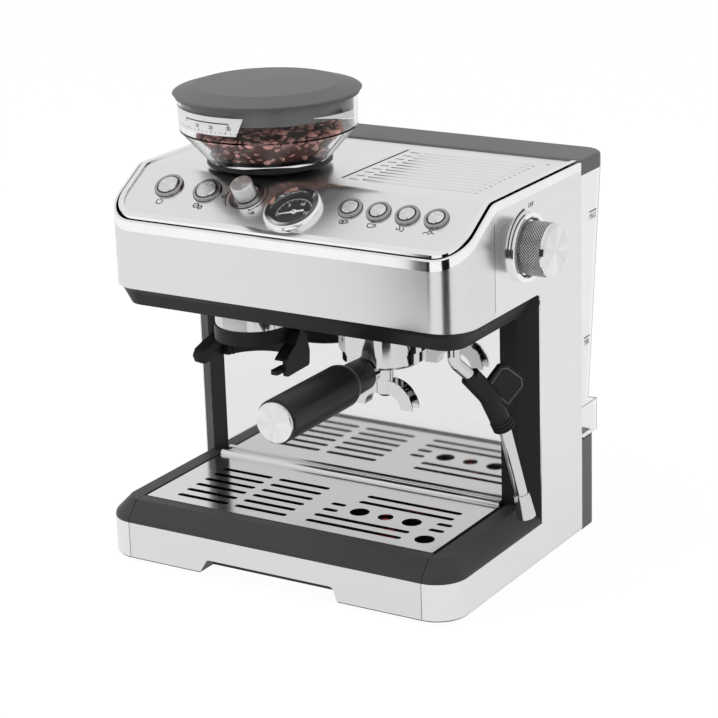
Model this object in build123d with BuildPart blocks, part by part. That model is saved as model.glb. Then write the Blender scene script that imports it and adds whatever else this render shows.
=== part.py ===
from build123d import *

import os
from math import cos, radians, sin, tan

os.makedirs("parts", exist_ok=True)

# ---------------------------------------------------------------------------
# Driving dimensions, in millimetres and degrees.
# X runs across the machine, -Y is its front, Z is up from the table.
# ---------------------------------------------------------------------------

# Case
case_width = 325.0
case_front = -125.0
case_rear = 96.5
base_corner = 26.0
sheet = 1.0
foot_height = 3.0
foot_radius = 11.0
strip_lip = 1.2
base_height = 31.0
sill_height = 16.0
sill_bevel = 13.0
sill_round = 6.0
wall = 3.0

# Column behind the cup
splash_y = 14.0
column_side = 30.5
splash_sheet = 1.0
post_flat = 15.0
opening_setback = 10.5
opening_round = 6.0
frame_wall = 3.5

# Head
head_setback = 22.0
head_corner = 27.0
head_bottom = 226.0
skirt_height = 16.0
skirt_step = 4.5
skirt_edge_inset = 1.1
skirt_step_inset = 4.5
skirt_bottom_inset = 10.0
shelf_lip = 4.0
shelf_sheet = 1.5

# Deck and control panel
head_height = 88.0
deck_slope = 31.0
panel_reach = 55.0
bend_radius = 16.0
deck_sheet = 1.5
moulding_height = 6.5
moulding_width = 2.0
moulding_groove = 2.0
rim_width = 4.3
rim_rise = 1.2
rim_depth = 3.0

# Cup rail pressed into the deck
rib_width = 6.4
rib_rise = 0.7
rib_count = 12
rib_first_y = -19.5
rib_pitch = 8.6
vent_width = 2.2
vent_length = 104.0
vent_y = 28.0
short_vent_width = 1.8
short_vent_length = 8.5
short_vent_count = 9
short_vent_pitch = 11.9
dot_length = 2.6
dot_width = 1.4
dot_count = 13
dot_pitch = 7.75
vents_first_y = -23.0
dimple_radius = 1.2
dimple_y = 80.0

# Controls on the panel
control_up = 42.6
big_button_radius = 8.5
small_button_radius = 6.4
button_ring = 3.0
ring_rise = 2.2
button_rise = 3.4
button_travel = 1.5
button_flange = 2.0
switch_height = 1.5
stem_radius = 2.5
dial_radius = 9.0
dial_rise = 14.0
dial_skirt_radius = 14.0
shaft_radius = 3.0
board_depth = 17.0
board_sheet = 1.6
gauge_up = 33.6
gauge_radius = 23.6
gauge_glass_radius = 18.5
gauge_rise = 4.5
gauge_depth = 11.0

# Grinder and bean hopper
hopper_y = -9.5
hopper_neck = 28.0
hopper_flange = 50.3
hopper_lift = 7.5
hopper_wall = 2.2
hopper_radius = 71.0
bowl_flare = 24.5
bowl_wall_height = 26.0
lid_overhang = 4.3
lid_bevel = 18.0
lid_sheet = 2.2
plug_gap = 0.6
plug_depth = 13.0
lid_height = 10.0
bean_heap = 2.0
burr_radius = 19.0
housing_radius = 34.0
housing_depth = 48.0
chamber_depth = 22.0
motor_radius = 21.0
chute_radius = 11.0

# Brewing group
group_y = -43.0
ring_height = 24.0
group_ring_radius = 35.5
group_bore = 31.6
ceiling_height = 12.0
outlet_ring_radius = 31.0
outlet_height = 21.5
boiler_radius = 34.0
boiler_height = 60.0

# Portafilter
bowl_radius = 33.5
bowl_height = 12.0
bowl_wall = 2.2
basket_wall = 0.8
handle_drop = 2.5
handle_neck = 12.6
handle_radius = 17.0
handle_shoulder = -105.0
handle_end = -199.0
cap_radius = 15.5
cap_depth = 3.0
spout_neck = 7.0
spout_height = 29.0
spout_reach = 22.0
spout_inner = 11.0
spout_width = 11.0
spout_wall = 1.2
spout_lip = 9.0

# Steam knob and wand
knob_y = 2.0
knob_up = 43.0
knob_radius = 21.2
knob_length = 23.5
knob_bezel_radius = 27.5
knob_bezel_rise = 4.0
wand_side = 28.5
wand_y = -63.0
wand_heading = 52.8
wand_radius = 5.0
sleeve_radius = 9.0
sleeve_flange = 13.0
sleeve_height = 12.0
wand_collar = 7.5
grip_radius = 8.0
wand_tip_radius = 7.4
wand_tip_length = 20.0

# Drip tray
tray_side = 26.0
tray_gap = 0.5
tray_wall = 2.2
tray_floor_z = 6.3
block_depth = 25.0
grid_side = 2.5
grid_overlap = 2.0
grid_setback = 1.4
grid_proud = 0.4
grid_sheet = 1.2
rail_radius = 4.0
slot_width = 5.2
slot_pitch = 13.0
slot_first_y = -88.0
grid_hole = 8.0
recess_left = -69.0
recess_right = 61.0
recess_height = 12.5
float_y = -55.5
float_radius = 7.0
float_tip_radius = 2.6
float_height = 30.0

# Water tank
dock_depth = 27.5
dock_height = 78.0
dock_corner = 12.0
tank_gap = 0.5
tank_side = 1.5
tank_wall = 2.4
tank_foot_overhang = 3.0
tank_foot_height = 28.0
tank_waist_depth = 14.5
tank_waist_rise = 5.0
tank_top_depth = 37.0
tank_drop = 11.0
tank_corner = 8.0
tank_lid_overhang = 11.0
lid_hinge_radius = 1.5
lid_hinge_drop = 3.0
tank_lid_height = 12.0
tank_lid_corner = 18.0
tank_lid_round = 3.0
valve_radius = 9.0

# Clearances
part_gap = 0.3
running_gap = 0.06

# ---------------------------------------------------------------------------
# Values worked out from the driving dimensions
# ---------------------------------------------------------------------------

case_half = case_width / 2
slope = radians(deck_slope)

# Heights
base_top = foot_height + base_height
sill_top = base_top + sill_height
skirt_bottom = head_bottom - skirt_height
shelf_z = skirt_bottom + shelf_lip
deck_top = head_bottom + head_height
deck_under = deck_top - deck_sheet
hopper_seat = deck_top + hopper_lift
hopper_shoulder = hopper_seat + bowl_flare
hopper_top = hopper_shoulder + bowl_wall_height
lid_top = hopper_top + lid_height
lid_radius = hopper_radius + lid_overhang
bean_level = hopper_shoulder + bean_heap
housing_bottom = deck_top - housing_depth
chamber_top = deck_top - chamber_depth
ring_bottom = shelf_z - ring_height
outlet_bottom = shelf_z - outlet_height
group_ceiling = ring_bottom + ceiling_height
bowl_bottom = ring_bottom - bowl_height
handle_z = bowl_bottom - handle_drop
spout_bottom = bowl_bottom - spout_height
spout_tip = spout_bottom - spout_lip
knob_z = head_bottom + knob_up
sleeve_top = skirt_bottom + sleeve_height
bay_height = skirt_bottom - sill_top
grid_top = sill_top + grid_proud
dock_top = foot_height + dock_height
tank_foot_top = dock_top + tank_foot_height
tank_waist_z = tank_foot_top + tank_waist_rise
tank_top = deck_top - tank_drop

# Depths
head_front = case_front + head_setback
bend_y = head_front + panel_reach
fascia_rear = bend_y
panel_foot = deck_top - panel_reach * tan(slope)
opening_rear = splash_y + opening_setback
block_rear = case_front + block_depth
grid_front = block_rear - grid_overlap
grid_rear = splash_y - grid_setback
dock_rear = case_rear + dock_depth
tank_front = case_rear + tank_gap
tank_foot_rear = dock_rear + tank_foot_overhang
tank_waist_rear = tank_front + tank_waist_depth
tank_top_rear = tank_front + tank_top_depth
tank_lid_rear = tank_top_rear + tank_lid_overhang

# Places across the width keep their share of it
big_button_first = -case_width * 120 / 325
big_button_pitch = case_width * 36.8 / 325
dial_x = big_button_first + 2 * big_button_pitch
gauge_x = case_width * 1.5 / 325
small_button_first = case_width * 48.6 / 325
small_button_pitch = case_width * 25.07 / 325
grinder_x = -case_width * 61 / 325
group_x = case_width * 61 / 325
rib_x = case_width * 80.5 / 325
rib_length = case_width * 97 / 325
vent_x = case_width * 15 / 325
short_vent_x = case_width * 25 / 325
dot_x = case_width * 133.5 / 325
dimple_x = case_width * 141.5 / 325
wand_x = case_half - wand_side
splash_width = case_width - 2 * column_side
tray_half = case_half - tray_side
grid_half = tray_half - grid_side
float_x = grid_half * 65 / 134
tank_half = case_half - tank_side
inner_side = 42.5
splash_half = splash_width / 2
post_edge = splash_half + post_flat
bay_half = tray_half + tray_gap
floor_top = foot_height + wall
shelf_top = shelf_z + shelf_sheet
rim_inset = moulding_width + moulding_groove
deck_inset = rim_inset + rim_width
grid_under = grid_top - grid_sheet
tray_rim = grid_under - part_gap
housing_lip = deck_top + 1.0
boiler_top = shelf_top + boiler_height
heading = radians(wand_heading)
beyond = case_width + lid_top


# ---------------------------------------------------------------------------
# Shared outlines
# ---------------------------------------------------------------------------


def case_plan(front, rear, corner, inset=0.0):
    """Plan of the case, set in from its front and sides, round at the front corners."""
    with BuildSketch() as plan:
        with Locations((0, (front + inset + rear) / 2)):
            Rectangle(case_width - 2 * inset, rear - front - inset)
        fillet(plan.vertices().group_by(Axis.Y)[0], corner - inset)
    return plan.sketch


def case_band(front, rear, corner, inset, width):
    """The strip of a case plan between two insets, open at the rear."""
    return case_plan(front, rear, corner, inset) - case_plan(front, rear, corner, inset + width)


def below_deck(depth):
    """Side view of everything under the deck surface when that is lowered by a depth."""
    bend = bend_y + depth * tan(slope / 2)
    level = deck_top - depth
    with BuildSketch() as side:
        with BuildLine():
            Polyline(
                (-beyond, -beyond),
                (-beyond, level - (bend + beyond) * tan(slope)),
                (bend, level),
                (beyond, level),
                (beyond, -beyond),
                close=True,
            )
        make_face()
        fillet(side.vertices().sort_by_distance((bend, level))[0], bend_radius - depth)
    return side.sketch


def under_deck(depth):
    """Everything under the deck surface when that is lowered by a depth."""
    with BuildPart() as under:
        with BuildSketch(Plane.YZ):
            add(below_deck(depth))
        extrude(amount=case_width, both=True)
    return under.part


def panel_plane(x, up, lift=0.0):
    """A plane on the sloping panel, at a distance up its slope, lifted off its face."""
    return Plane(
        origin=(x, head_front + up * cos(slope), panel_foot + up * sin(slope)),
        x_dir=(1, 0, 0),
        z_dir=(0, -sin(slope), cos(slope)),
    ).offset(lift)


def outline(plane, *points):
    """A closed face through the points of a plane."""
    with BuildSketch(plane) as face:
        with BuildLine():
            Polyline(*points, close=True)
        make_face()
    return face.sketch


def upright(x, y):
    """A vertical plane through a vertical axis, for profiles of radius and height."""
    return Plane(origin=(x, y, 0), x_dir=(1, 0, 0), z_dir=(0, -1, 0))


def round_edge(part, plane, radius):
    """The circular edge of a radius that is nearest to a plane's origin."""
    circles = part.edges().filter_by(GeomType.CIRCLE)
    return circles.filter_by(lambda edge: abs(edge.radius - radius) < 0.01).sort_by_distance(plane.origin)[0]


def vertical_axis(x, y):
    """The vertical line through a point of the plan."""
    return Axis((x, y, 0), (0, 0, 1))


def tube_along(radius, bend, *points):
    """A round rod along straight runs joined by arcs."""
    with BuildPart() as rod:
        with BuildLine() as route:
            FilletPolyline(*points, radius=bend)
        start = Plane(origin=route.line @ 0, z_dir=route.line % 0)
        with BuildSketch(start):
            Circle(radius)
        sweep()
    return rod.part


def finish(part, name):
    """Label a finished piece and write its file."""
    part.label = name
    export_step(part, f"parts/{name}.step")


# Plan of the black frame round the splash back, front facets first
frame_half = case_half - sheet
frame_face = [
    (-frame_half, opening_rear),
    (-post_edge, splash_y),
    (post_edge, splash_y),
    (frame_half, opening_rear),
]
frame_back = [
    (frame_half, opening_rear + frame_wall),
    (post_edge - sheet, splash_y + frame_wall),
    (-post_edge + sheet, splash_y + frame_wall),
    (-frame_half, opening_rear + frame_wall),
]
behind_frame = outline(
    Plane.XY,
    *frame_face,
    (case_half, opening_rear),
    (case_half, opening_rear + 20),
    (-case_half, opening_rear + 20),
    (-case_half, opening_rear),
)

# The bevelled black rim of the base, before the tray bay is cut from it
with BuildPart() as sill_form:
    with BuildSketch(Plane.XY.offset(base_top)):
        add(case_plan(case_front, opening_rear, base_corner))
    extrude(amount=sill_top - base_top)
    front_and_sides = (
        sill_form.faces().sort_by(Axis.Z)[-1].edges().filter_by_position(
            Axis.Y, case_front - 1, opening_rear - 0.01
        )
    )
    chamfer(front_and_sides, sill_bevel)
    lower_edges = sill_form.edges().filter_by_position(
        Axis.Z, sill_top - sill_bevel - 0.01, sill_top - sill_bevel + 0.01
    ).filter_by_position(Axis.Y, case_front - 1, opening_rear - 0.01)
    fillet(lower_edges, sill_round)
    extrude(behind_frame, beyond, mode=Mode.SUBTRACT)

# ---------------------------------------------------------------------------
# Base
# ---------------------------------------------------------------------------

foot_spots = [
    (x, y)
    for x in (-case_half + 28, case_half - 28)
    for y in (case_front + 36, case_rear - 22)
]
screw_edge = 62.5
screw_rear = 12.5
screw_pitch = 42.0
screw_spots = [
    (x, case_rear - screw_rear - back)
    for x in (screw_edge - case_half, 0, case_half - screw_edge)
    for back in (0, screw_pitch)
]
screw_radius = 1.9
screw_head_radius = 3.6
screw_head_height = 1.8

with BuildPart() as base_pan:
    with BuildSketch(Plane.XY.offset(foot_height)):
        add(case_plan(case_front, case_rear, base_corner, sheet))
    extrude(amount=base_top - foot_height)
    add(sill_form.part)
    # Bay for the drip tray, open at the front and the top
    with BuildSketch(Plane.XY.offset(floor_top)):
        with Locations((0, (case_front + splash_y) / 2)):
            Rectangle(2 * bay_half, splash_y - part_gap - case_front + part_gap)
    extrude(amount=sill_top, mode=Mode.SUBTRACT)
    with BuildSketch(Plane.XY):
        with Locations((0, (case_front + block_rear) / 2)):
            Rectangle(2 * bay_half, block_rear - case_front + 2 * tray_gap)
    extrude(amount=sill_top, mode=Mode.SUBTRACT)
    # Space behind the bay, and the hollow side sills that open into it
    with BuildSketch(Plane.XY.offset(floor_top)):
        with Locations((0, (splash_y + wall + case_rear - wall) / 2)):
            Rectangle(case_width - 2 * wall - 2 * sheet, case_rear - splash_y - 2 * wall)
    extrude(amount=sill_top, mode=Mode.SUBTRACT)
    sill_hollow = case_half - sheet - bay_half - 2 * wall
    with BuildSketch(Plane.XY.offset(floor_top)):
        for side in (-1, 1):
            with Locations((side * (bay_half + wall + sill_hollow / 2), (case_front + 30 + splash_y + 2 * wall) / 2)):
                Rectangle(sill_hollow, splash_y + 2 * wall - case_front - 30)
    extrude(amount=base_top - wall - floor_top, mode=Mode.SUBTRACT)
    with BuildSketch():
        with Locations(*screw_spots):
            Circle(screw_radius + running_gap)
    extrude(amount=base_top, mode=Mode.SUBTRACT)
finish(base_pan.part, "base_pan")

with BuildPart() as rubber_feet:
    with BuildSketch():
        with Locations(*foot_spots):
            Circle(foot_radius)
    extrude(amount=foot_height)
finish(rubber_feet.part, "rubber_feet")

with BuildPart() as case_screws:
    with BuildSketch(Plane.XY.offset(foot_height - screw_head_height)):
        with Locations(*screw_spots):
            Circle(screw_head_radius)
    extrude(amount=screw_head_height)
    with BuildSketch(Plane.XY.offset(foot_height)):
        with Locations(*screw_spots):
            Circle(screw_radius)
    extrude(amount=wall + shelf_sheet + 1)
finish(case_screws.part, "case_screws")

# ---------------------------------------------------------------------------
# Steel case
# ---------------------------------------------------------------------------

under_moulding = under_deck(moulding_height)
moulding_layer = under_deck(0) - under_moulding
rim_layer = under_deck(-rim_rise) - under_deck(rim_depth)
deck_layer = under_deck(0) - under_deck(deck_sheet)
deck_rim = extrude(case_band(head_front, case_rear, head_corner, rim_inset, rim_width), beyond)


def side_panel(side):
    """A steel side: strip round the base, column, and the rear of the head."""
    with BuildPart() as panel:
        with BuildSketch(Plane.XY.offset(foot_height + strip_lip)):
            add(case_band(case_front, case_rear, base_corner, 0, sheet))
            with Locations((side * (bay_half + case_width / 2), 0)):
                Rectangle(case_width, 2 * beyond, mode=Mode.INTERSECT)
        extrude(amount=base_top - foot_height - strip_lip)
        with BuildSketch(Plane.YZ.offset(side * (case_half - sheet))):
            with BuildLine():
                Polyline(
                    (opening_rear, base_top),
                    (case_rear, base_top),
                    (case_rear, deck_top),
                    (fascia_rear, deck_top),
                    (fascia_rear, head_bottom),
                    (opening_rear, head_bottom),
                    close=True,
                )
            make_face()
        extrude(amount=side * sheet)
        column_front = panel.edges().filter_by(Axis.X).sort_by_distance(
            (side * case_half, opening_rear, head_bottom)
        )[0]
        fillet(column_front, opening_round)
        add(under_moulding, mode=Mode.INTERSECT)
    return panel.part


left_side_panel = side_panel(-1)
finish(left_side_panel, "left_side_panel")

# The right side has a hole for the stem of the steam knob
knob_hole = Pos(case_half, knob_y, knob_z) * Rot(0, 90, 0) * Cylinder(shaft_radius + 1, 10)
right_side_panel = side_panel(1) - knob_hole
finish(right_side_panel, "right_side_panel")

with BuildPart() as front_fascia:
    with BuildSketch(Plane.XY.offset(head_bottom)):
        add(case_band(head_front, fascia_rear, head_corner, 0, sheet))
    extrude(amount=deck_top - head_bottom)
    add(under_moulding, mode=Mode.INTERSECT)
finish(front_fascia.part, "front_fascia")

with BuildPart() as head_mouldings:
    # Outer moulding on the steel's top edge
    with BuildSketch(Plane.XY.offset(head_bottom)):
        add(case_band(head_front, case_rear, head_corner, 0, moulding_width))
    extrude(amount=beyond)
    add(moulding_layer, mode=Mode.INTERSECT)
    # Raised rim round the deck, across a narrow groove
    add(deck_rim & rim_layer)
finish(head_mouldings.part, "head_mouldings")

# ---------------------------------------------------------------------------
# Deck with the control panel
# ---------------------------------------------------------------------------

big_button_spots = [big_button_first, big_button_first + big_button_pitch]
small_button_spots = [small_button_first + i * small_button_pitch for i in range(4)]
gauge_can_radius = gauge_glass_radius + 1.0

with BuildPart() as top_deck:
    with BuildSketch(Plane.XY.offset(head_bottom)):
        add(case_plan(head_front, case_rear, head_corner, deck_inset))
    extrude(amount=beyond)
    add(deck_layer, mode=Mode.INTERSECT)
    # Ribs of the cup rail
    rib_centre_y = rib_first_y + (rib_count - 1) * rib_pitch / 2
    with BuildSketch(Plane.XY.offset(deck_top)):
        with Locations((rib_x, rib_centre_y)):
            with GridLocations(0, rib_pitch, 1, rib_count):
                SlotOverall(rib_length, rib_width)
    extrude(amount=rib_rise)
    rib_tops = top_deck.faces().filter_by(Axis.Z).sort_by(Axis.Z)[-rib_count:]
    chamfer(rib_tops.edges(), rib_rise * 0.7)
    # Long vent left of the ribs, short vents and small holes at their ends, and a dimple
    with BuildSketch(Plane.XY.offset(deck_under)):
        with Locations((vent_x, vent_y)):
            SlotOverall(vent_length, vent_width, rotation=90)
        for number in range(short_vent_count):
            with Locations((short_vent_x, vents_first_y + number * short_vent_pitch)):
                SlotOverall(short_vent_length, short_vent_width)
        for number in range(dot_count):
            with Locations((dot_x, vents_first_y + number * dot_pitch)):
                SlotOverall(dot_length, dot_width)
        with Locations((dimple_x, dimple_y)):
            Circle(dimple_radius)
    extrude(amount=2 * deck_sheet, mode=Mode.SUBTRACT)
    # Neck of the grinder
    with BuildSketch(Plane.XY.offset(deck_under)):
        with Locations((grinder_x, hopper_y)):
            Circle(hopper_neck + wall + part_gap)
    extrude(amount=2 * deck_sheet, mode=Mode.SUBTRACT)
    # Holes for the controls
    for x in big_button_spots:
        with BuildSketch(panel_plane(x, control_up, -2 * deck_sheet)):
            Circle(big_button_radius + 2 * part_gap)
        extrude(amount=3 * deck_sheet, mode=Mode.SUBTRACT)
    for x in small_button_spots:
        with BuildSketch(panel_plane(x, control_up, -2 * deck_sheet)):
            Circle(small_button_radius + 2 * part_gap)
        extrude(amount=3 * deck_sheet, mode=Mode.SUBTRACT)
    with BuildSketch(panel_plane(dial_x, control_up, -2 * deck_sheet)):
        Circle(shaft_radius + running_gap)
    extrude(amount=3 * deck_sheet, mode=Mode.SUBTRACT)
    with BuildSketch(panel_plane(gauge_x, gauge_up, -2 * deck_sheet)):
        Circle(gauge_can_radius + running_gap)
    extrude(amount=3 * deck_sheet, mode=Mode.SUBTRACT)
finish(top_deck.part, "top_deck")

with BuildPart() as button_bezels:
    for x, face in [(x, big_button_radius) for x in big_button_spots] + [
        (x, small_button_radius) for x in small_button_spots
    ]:
        with BuildSketch(panel_plane(x, control_up)):
            Circle(face + part_gap + button_ring)
            Circle(face + part_gap, mode=Mode.SUBTRACT)
        extrude(amount=ring_rise)
    with BuildSketch(panel_plane(dial_x, control_up)):
        Circle(dial_skirt_radius)
        Circle(dial_radius + 1.5, mode=Mode.SUBTRACT)
    extrude(amount=1.0)
finish(button_bezels.part, "button_bezels")


flange_depth = deck_sheet + part_gap + button_flange
stem_depth = board_depth - board_sheet - switch_height - button_travel - part_gap


def make_button(name, x, face):
    """A push button with its retaining flange and stem."""
    with BuildPart() as button:
        with BuildSketch(panel_plane(x, control_up, -flange_depth)):
            Circle(face)
        extrude(amount=flange_depth + button_rise)
        chamfer(round_edge(button.part, panel_plane(x, control_up, button_rise), face), 0.8)
        with BuildSketch(panel_plane(x, control_up, -flange_depth)):
            Circle(face + 1.6)
        extrude(amount=button_flange)
        with BuildSketch(panel_plane(x, control_up, -stem_depth)):
            Circle(stem_radius)
        extrude(amount=stem_depth - flange_depth)
    finish(button.part, name)


make_button("power_button", big_button_spots[0], big_button_radius)
make_button("grind_button", big_button_spots[1], big_button_radius)
make_button("single_shot_button", small_button_spots[0], small_button_radius)
make_button("double_shot_button", small_button_spots[1], small_button_radius)
make_button("hot_water_button", small_button_spots[2], small_button_radius)
make_button("steam_button", small_button_spots[3], small_button_radius)

with BuildPart() as dose_dial:
    with BuildSketch(panel_plane(dial_x, control_up, 1.3)):
        Circle(dial_radius)
    extrude(amount=dial_rise - 1.3)
    chamfer(round_edge(dose_dial.part, panel_plane(dial_x, control_up, dial_rise), dial_radius), 0.7)
    with BuildSketch(panel_plane(dial_x, control_up, -board_depth + board_sheet + part_gap)):
        Circle(shaft_radius)
    extrude(amount=board_depth - board_sheet + 3)
finish(dose_dial.part, "dose_dial")

# Circuit board hung under the panel on standoffs
with BuildPart() as control_board:
    board_side = 17.5
    board_length = case_width - 2 * board_side
    board_width = 26.0
    switch_size = 6.0
    with BuildSketch(panel_plane(0, control_up, -board_depth)):
        Rectangle(board_length, board_width)
    extrude(amount=board_sheet)
    for x in big_button_spots + small_button_spots:
        with BuildSketch(panel_plane(x, control_up, -board_depth + board_sheet)):
            Rectangle(switch_size, switch_size)
        extrude(amount=switch_height)
    with BuildSketch(panel_plane(dial_x, control_up, -board_depth + board_sheet)):
        Rectangle(2 * switch_size, 2 * switch_size)
        Circle(shaft_radius + running_gap, mode=Mode.SUBTRACT)
    extrude(amount=switch_size)
    standoff_height = board_depth - board_sheet - deck_sheet
    with BuildSketch(panel_plane(0, control_up, -board_depth + board_sheet)):
        with GridLocations(board_length - 12, 0, 2, 1):
            Circle(stem_radius)
        with Locations((dial_x + 22, 10), (small_button_first - 16, 10)):
            Circle(stem_radius)
    extrude(amount=standoff_height)
finish(control_board.part, "control_board")

# ---------------------------------------------------------------------------
# Pressure gauge
# ---------------------------------------------------------------------------

dial_seat = -3.0
dial_sheet = 0.6
pivot_radius = 0.8

with BuildPart() as gauge_bezel:
    with BuildSketch(panel_plane(gauge_x, gauge_up)):
        Circle(gauge_radius)
    extrude(amount=gauge_rise)
    fillet(round_edge(gauge_bezel.part, panel_plane(gauge_x, gauge_up, gauge_rise), gauge_radius), 2.5)
    with BuildSketch(panel_plane(gauge_x, gauge_up, -gauge_depth)):
        Circle(gauge_can_radius)
    extrude(amount=gauge_depth)
    with BuildSketch(panel_plane(gauge_x, gauge_up, dial_seat)):
        Circle(gauge_glass_radius + running_gap)
    extrude(amount=gauge_rise - dial_seat - 1, mode=Mode.SUBTRACT)
    with BuildSketch(panel_plane(gauge_x, gauge_up, dial_seat)):
        Circle(gauge_glass_radius - 1)
    extrude(amount=gauge_rise - dial_seat + 1, mode=Mode.SUBTRACT)
    with BuildSketch(panel_plane(gauge_x, gauge_up, dial_seat)):
        Circle(pivot_radius)
    extrude(amount=2.4)
finish(gauge_bezel.part, "gauge_bezel")

with BuildPart() as gauge_dial:
    with BuildSketch(panel_plane(gauge_x, gauge_up, dial_seat)):
        Circle(gauge_glass_radius)
        Circle(pivot_radius + running_gap, mode=Mode.SUBTRACT)
    extrude(amount=dial_sheet)
finish(gauge_dial.part, "gauge_dial")

# The long end of the needle rests at zero, low on the left of the scale
needle_length = 13.5
needle_tail = 8.0
needle_rest = radians(200)
with BuildPart() as gauge_needle:
    needle_plane = panel_plane(gauge_x, gauge_up, dial_seat + dial_sheet + part_gap)
    with BuildSketch(needle_plane):
        with BuildLine():
            reach = Vector(cos(needle_rest), sin(needle_rest))
            aside = Vector(-sin(needle_rest), cos(needle_rest))
            Polyline(
                reach * needle_length + aside * 0.25,
                aside * 0.7,
                reach * -needle_tail + aside * 0.9,
                reach * -needle_tail - aside * 0.9,
                aside * -0.7,
                reach * needle_length - aside * 0.25,
                close=True,
            )
        make_face()
        Circle(2.2)
        Circle(pivot_radius + running_gap, mode=Mode.SUBTRACT)
    extrude(amount=0.8)
finish(gauge_needle.part, "gauge_needle")

with BuildPart() as gauge_glass:
    with BuildSketch(panel_plane(gauge_x, gauge_up, gauge_rise - 2.2)):
        Circle(gauge_glass_radius)
    extrude(amount=1.2)
finish(gauge_glass.part, "gauge_glass")

# ---------------------------------------------------------------------------
# Head: skirt, shelf and rear housing
# ---------------------------------------------------------------------------


def skirt_plan(z, inset):
    """Outline of the black skirt at a height."""
    with BuildSketch(Plane.XY.offset(z)) as plan:
        add(case_plan(head_front, opening_rear, head_corner, inset))
    return plan.sketch


with BuildPart() as head_skirt:
    skirt_middle = head_bottom - skirt_step
    loft([skirt_plan(skirt_middle, skirt_step_inset), skirt_plan(head_bottom, skirt_edge_inset)])
    loft([skirt_plan(skirt_bottom, skirt_bottom_inset), skirt_plan(skirt_middle, skirt_step_inset)])
    # Upstand inside the steel
    with BuildSketch(Plane.XY.offset(head_bottom)):
        add(case_plan(head_front, opening_rear, head_corner, sheet))
    extrude(amount=6)
    with BuildSketch(Plane.XY.offset(skirt_bottom + wall)):
        add(case_plan(head_front, opening_rear + wall, head_corner, skirt_bottom_inset + wall))
    extrude(amount=beyond, mode=Mode.SUBTRACT)
    extrude(behind_frame, beyond, mode=Mode.SUBTRACT)
    # Openings for the group, the grinder outlet and the wand's stem
    with BuildSketch(Plane.XY.offset(skirt_bottom - 1)):
        with Locations((group_x, group_y)):
            Circle(group_ring_radius + part_gap)
        with Locations((grinder_x, group_y)):
            Circle(outlet_ring_radius + part_gap)
        with Locations((wand_x, wand_y)):
            Circle(wand_radius + 2 * part_gap)
    extrude(amount=2 * wall, mode=Mode.SUBTRACT)
finish(head_skirt.part, "head_skirt")

with BuildPart() as splash_frame:
    with BuildSketch(Plane.XY.offset(base_top)):
        with BuildLine():
            Polyline(*frame_face, *frame_back, close=True)
        make_face()
        with Locations((0, splash_y + splash_sheet / 2)):
            Rectangle(splash_width, splash_sheet, mode=Mode.SUBTRACT)
    extrude(amount=shelf_z - base_top)
    # The corner posts run on up to the head's steel
    with BuildSketch(Plane.XY.offset(shelf_z)):
        with BuildLine():
            Polyline(*frame_face, *frame_back, close=True)
        make_face()
        Rectangle(2 * post_edge, beyond, mode=Mode.SUBTRACT)
    extrude(amount=head_bottom - shelf_z)
finish(splash_frame.part, "splash_frame")

with BuildPart() as splash_back:
    with BuildSketch(Plane.XY.offset(base_top)):
        with Locations((0, splash_y + splash_sheet / 2)):
            Rectangle(splash_width, splash_sheet)
    extrude(amount=skirt_bottom - base_top)
finish(splash_back.part, "splash_back")

pump_x = -50.0
pump_y = 60.0
pump_z = 84.0
pump_radius = 22.0
pump_length = 84.0
plate_y = opening_rear + frame_wall + 3
hose_radius = 3.0

with BuildPart() as chassis_frame:
    # Shelf over the skirt
    with BuildSketch(Plane.XY.offset(shelf_z)):
        add(case_plan(head_front, case_rear - wall, head_corner, case_half - post_edge + 2))
        with Locations((group_x, group_y)):
            Circle(group_bore, mode=Mode.SUBTRACT)
        with Locations((grinder_x, group_y)):
            Circle(chute_radius + part_gap, mode=Mode.SUBTRACT)
        with Locations((wand_x, wand_y)):
            Circle(sleeve_radius + part_gap, mode=Mode.SUBTRACT)
        with Locations((group_x, pump_y)):
            Circle(hose_radius + 1, mode=Mode.SUBTRACT)
    extrude(amount=shelf_sheet)
    # Front legs of the shelf on the skirt's floor
    with BuildSketch(Plane.XY.offset(skirt_bottom + wall)):
        with Locations((inner_side - case_half, group_y), (0, group_y), (case_half - inner_side, group_y + 40)):
            Circle(4)
    extrude(amount=shelf_z - skirt_bottom - wall)
    # Foot plate that the base is screwed to
    with BuildSketch(Plane.XY.offset(floor_top)):
        with Locations((0, (plate_y + case_rear - wall) / 2)):
            Rectangle(2 * (case_half - inner_side), case_rear - wall - plate_y)
        with Locations(*screw_spots):
            Circle(screw_radius + running_gap, mode=Mode.SUBTRACT)
    extrude(amount=shelf_sheet)
    # Upright plate in the column, with the pump's cradle
    with BuildSketch(Plane.XY.offset(floor_top)):
        with Locations((0, plate_y + shelf_sheet / 2)):
            Rectangle(case_width - 2 * wall - 2 * sheet, shelf_sheet)
    extrude(amount=shelf_z - floor_top)
    with BuildSketch(Plane.XY.offset(pump_z - pump_radius - 4)):
        with Locations((pump_x, (plate_y + pump_y + 8) / 2)):
            Rectangle(pump_length * 0.7, pump_y + 8 - plate_y)
    extrude(amount=pump_radius)
    with BuildSketch(Plane.YZ.offset(pump_x - pump_length)):
        with Locations((pump_y, pump_z)):
            Circle(pump_radius)
    extrude(amount=2 * pump_length, mode=Mode.SUBTRACT)
finish(chassis_frame.part, "chassis_frame")

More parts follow.
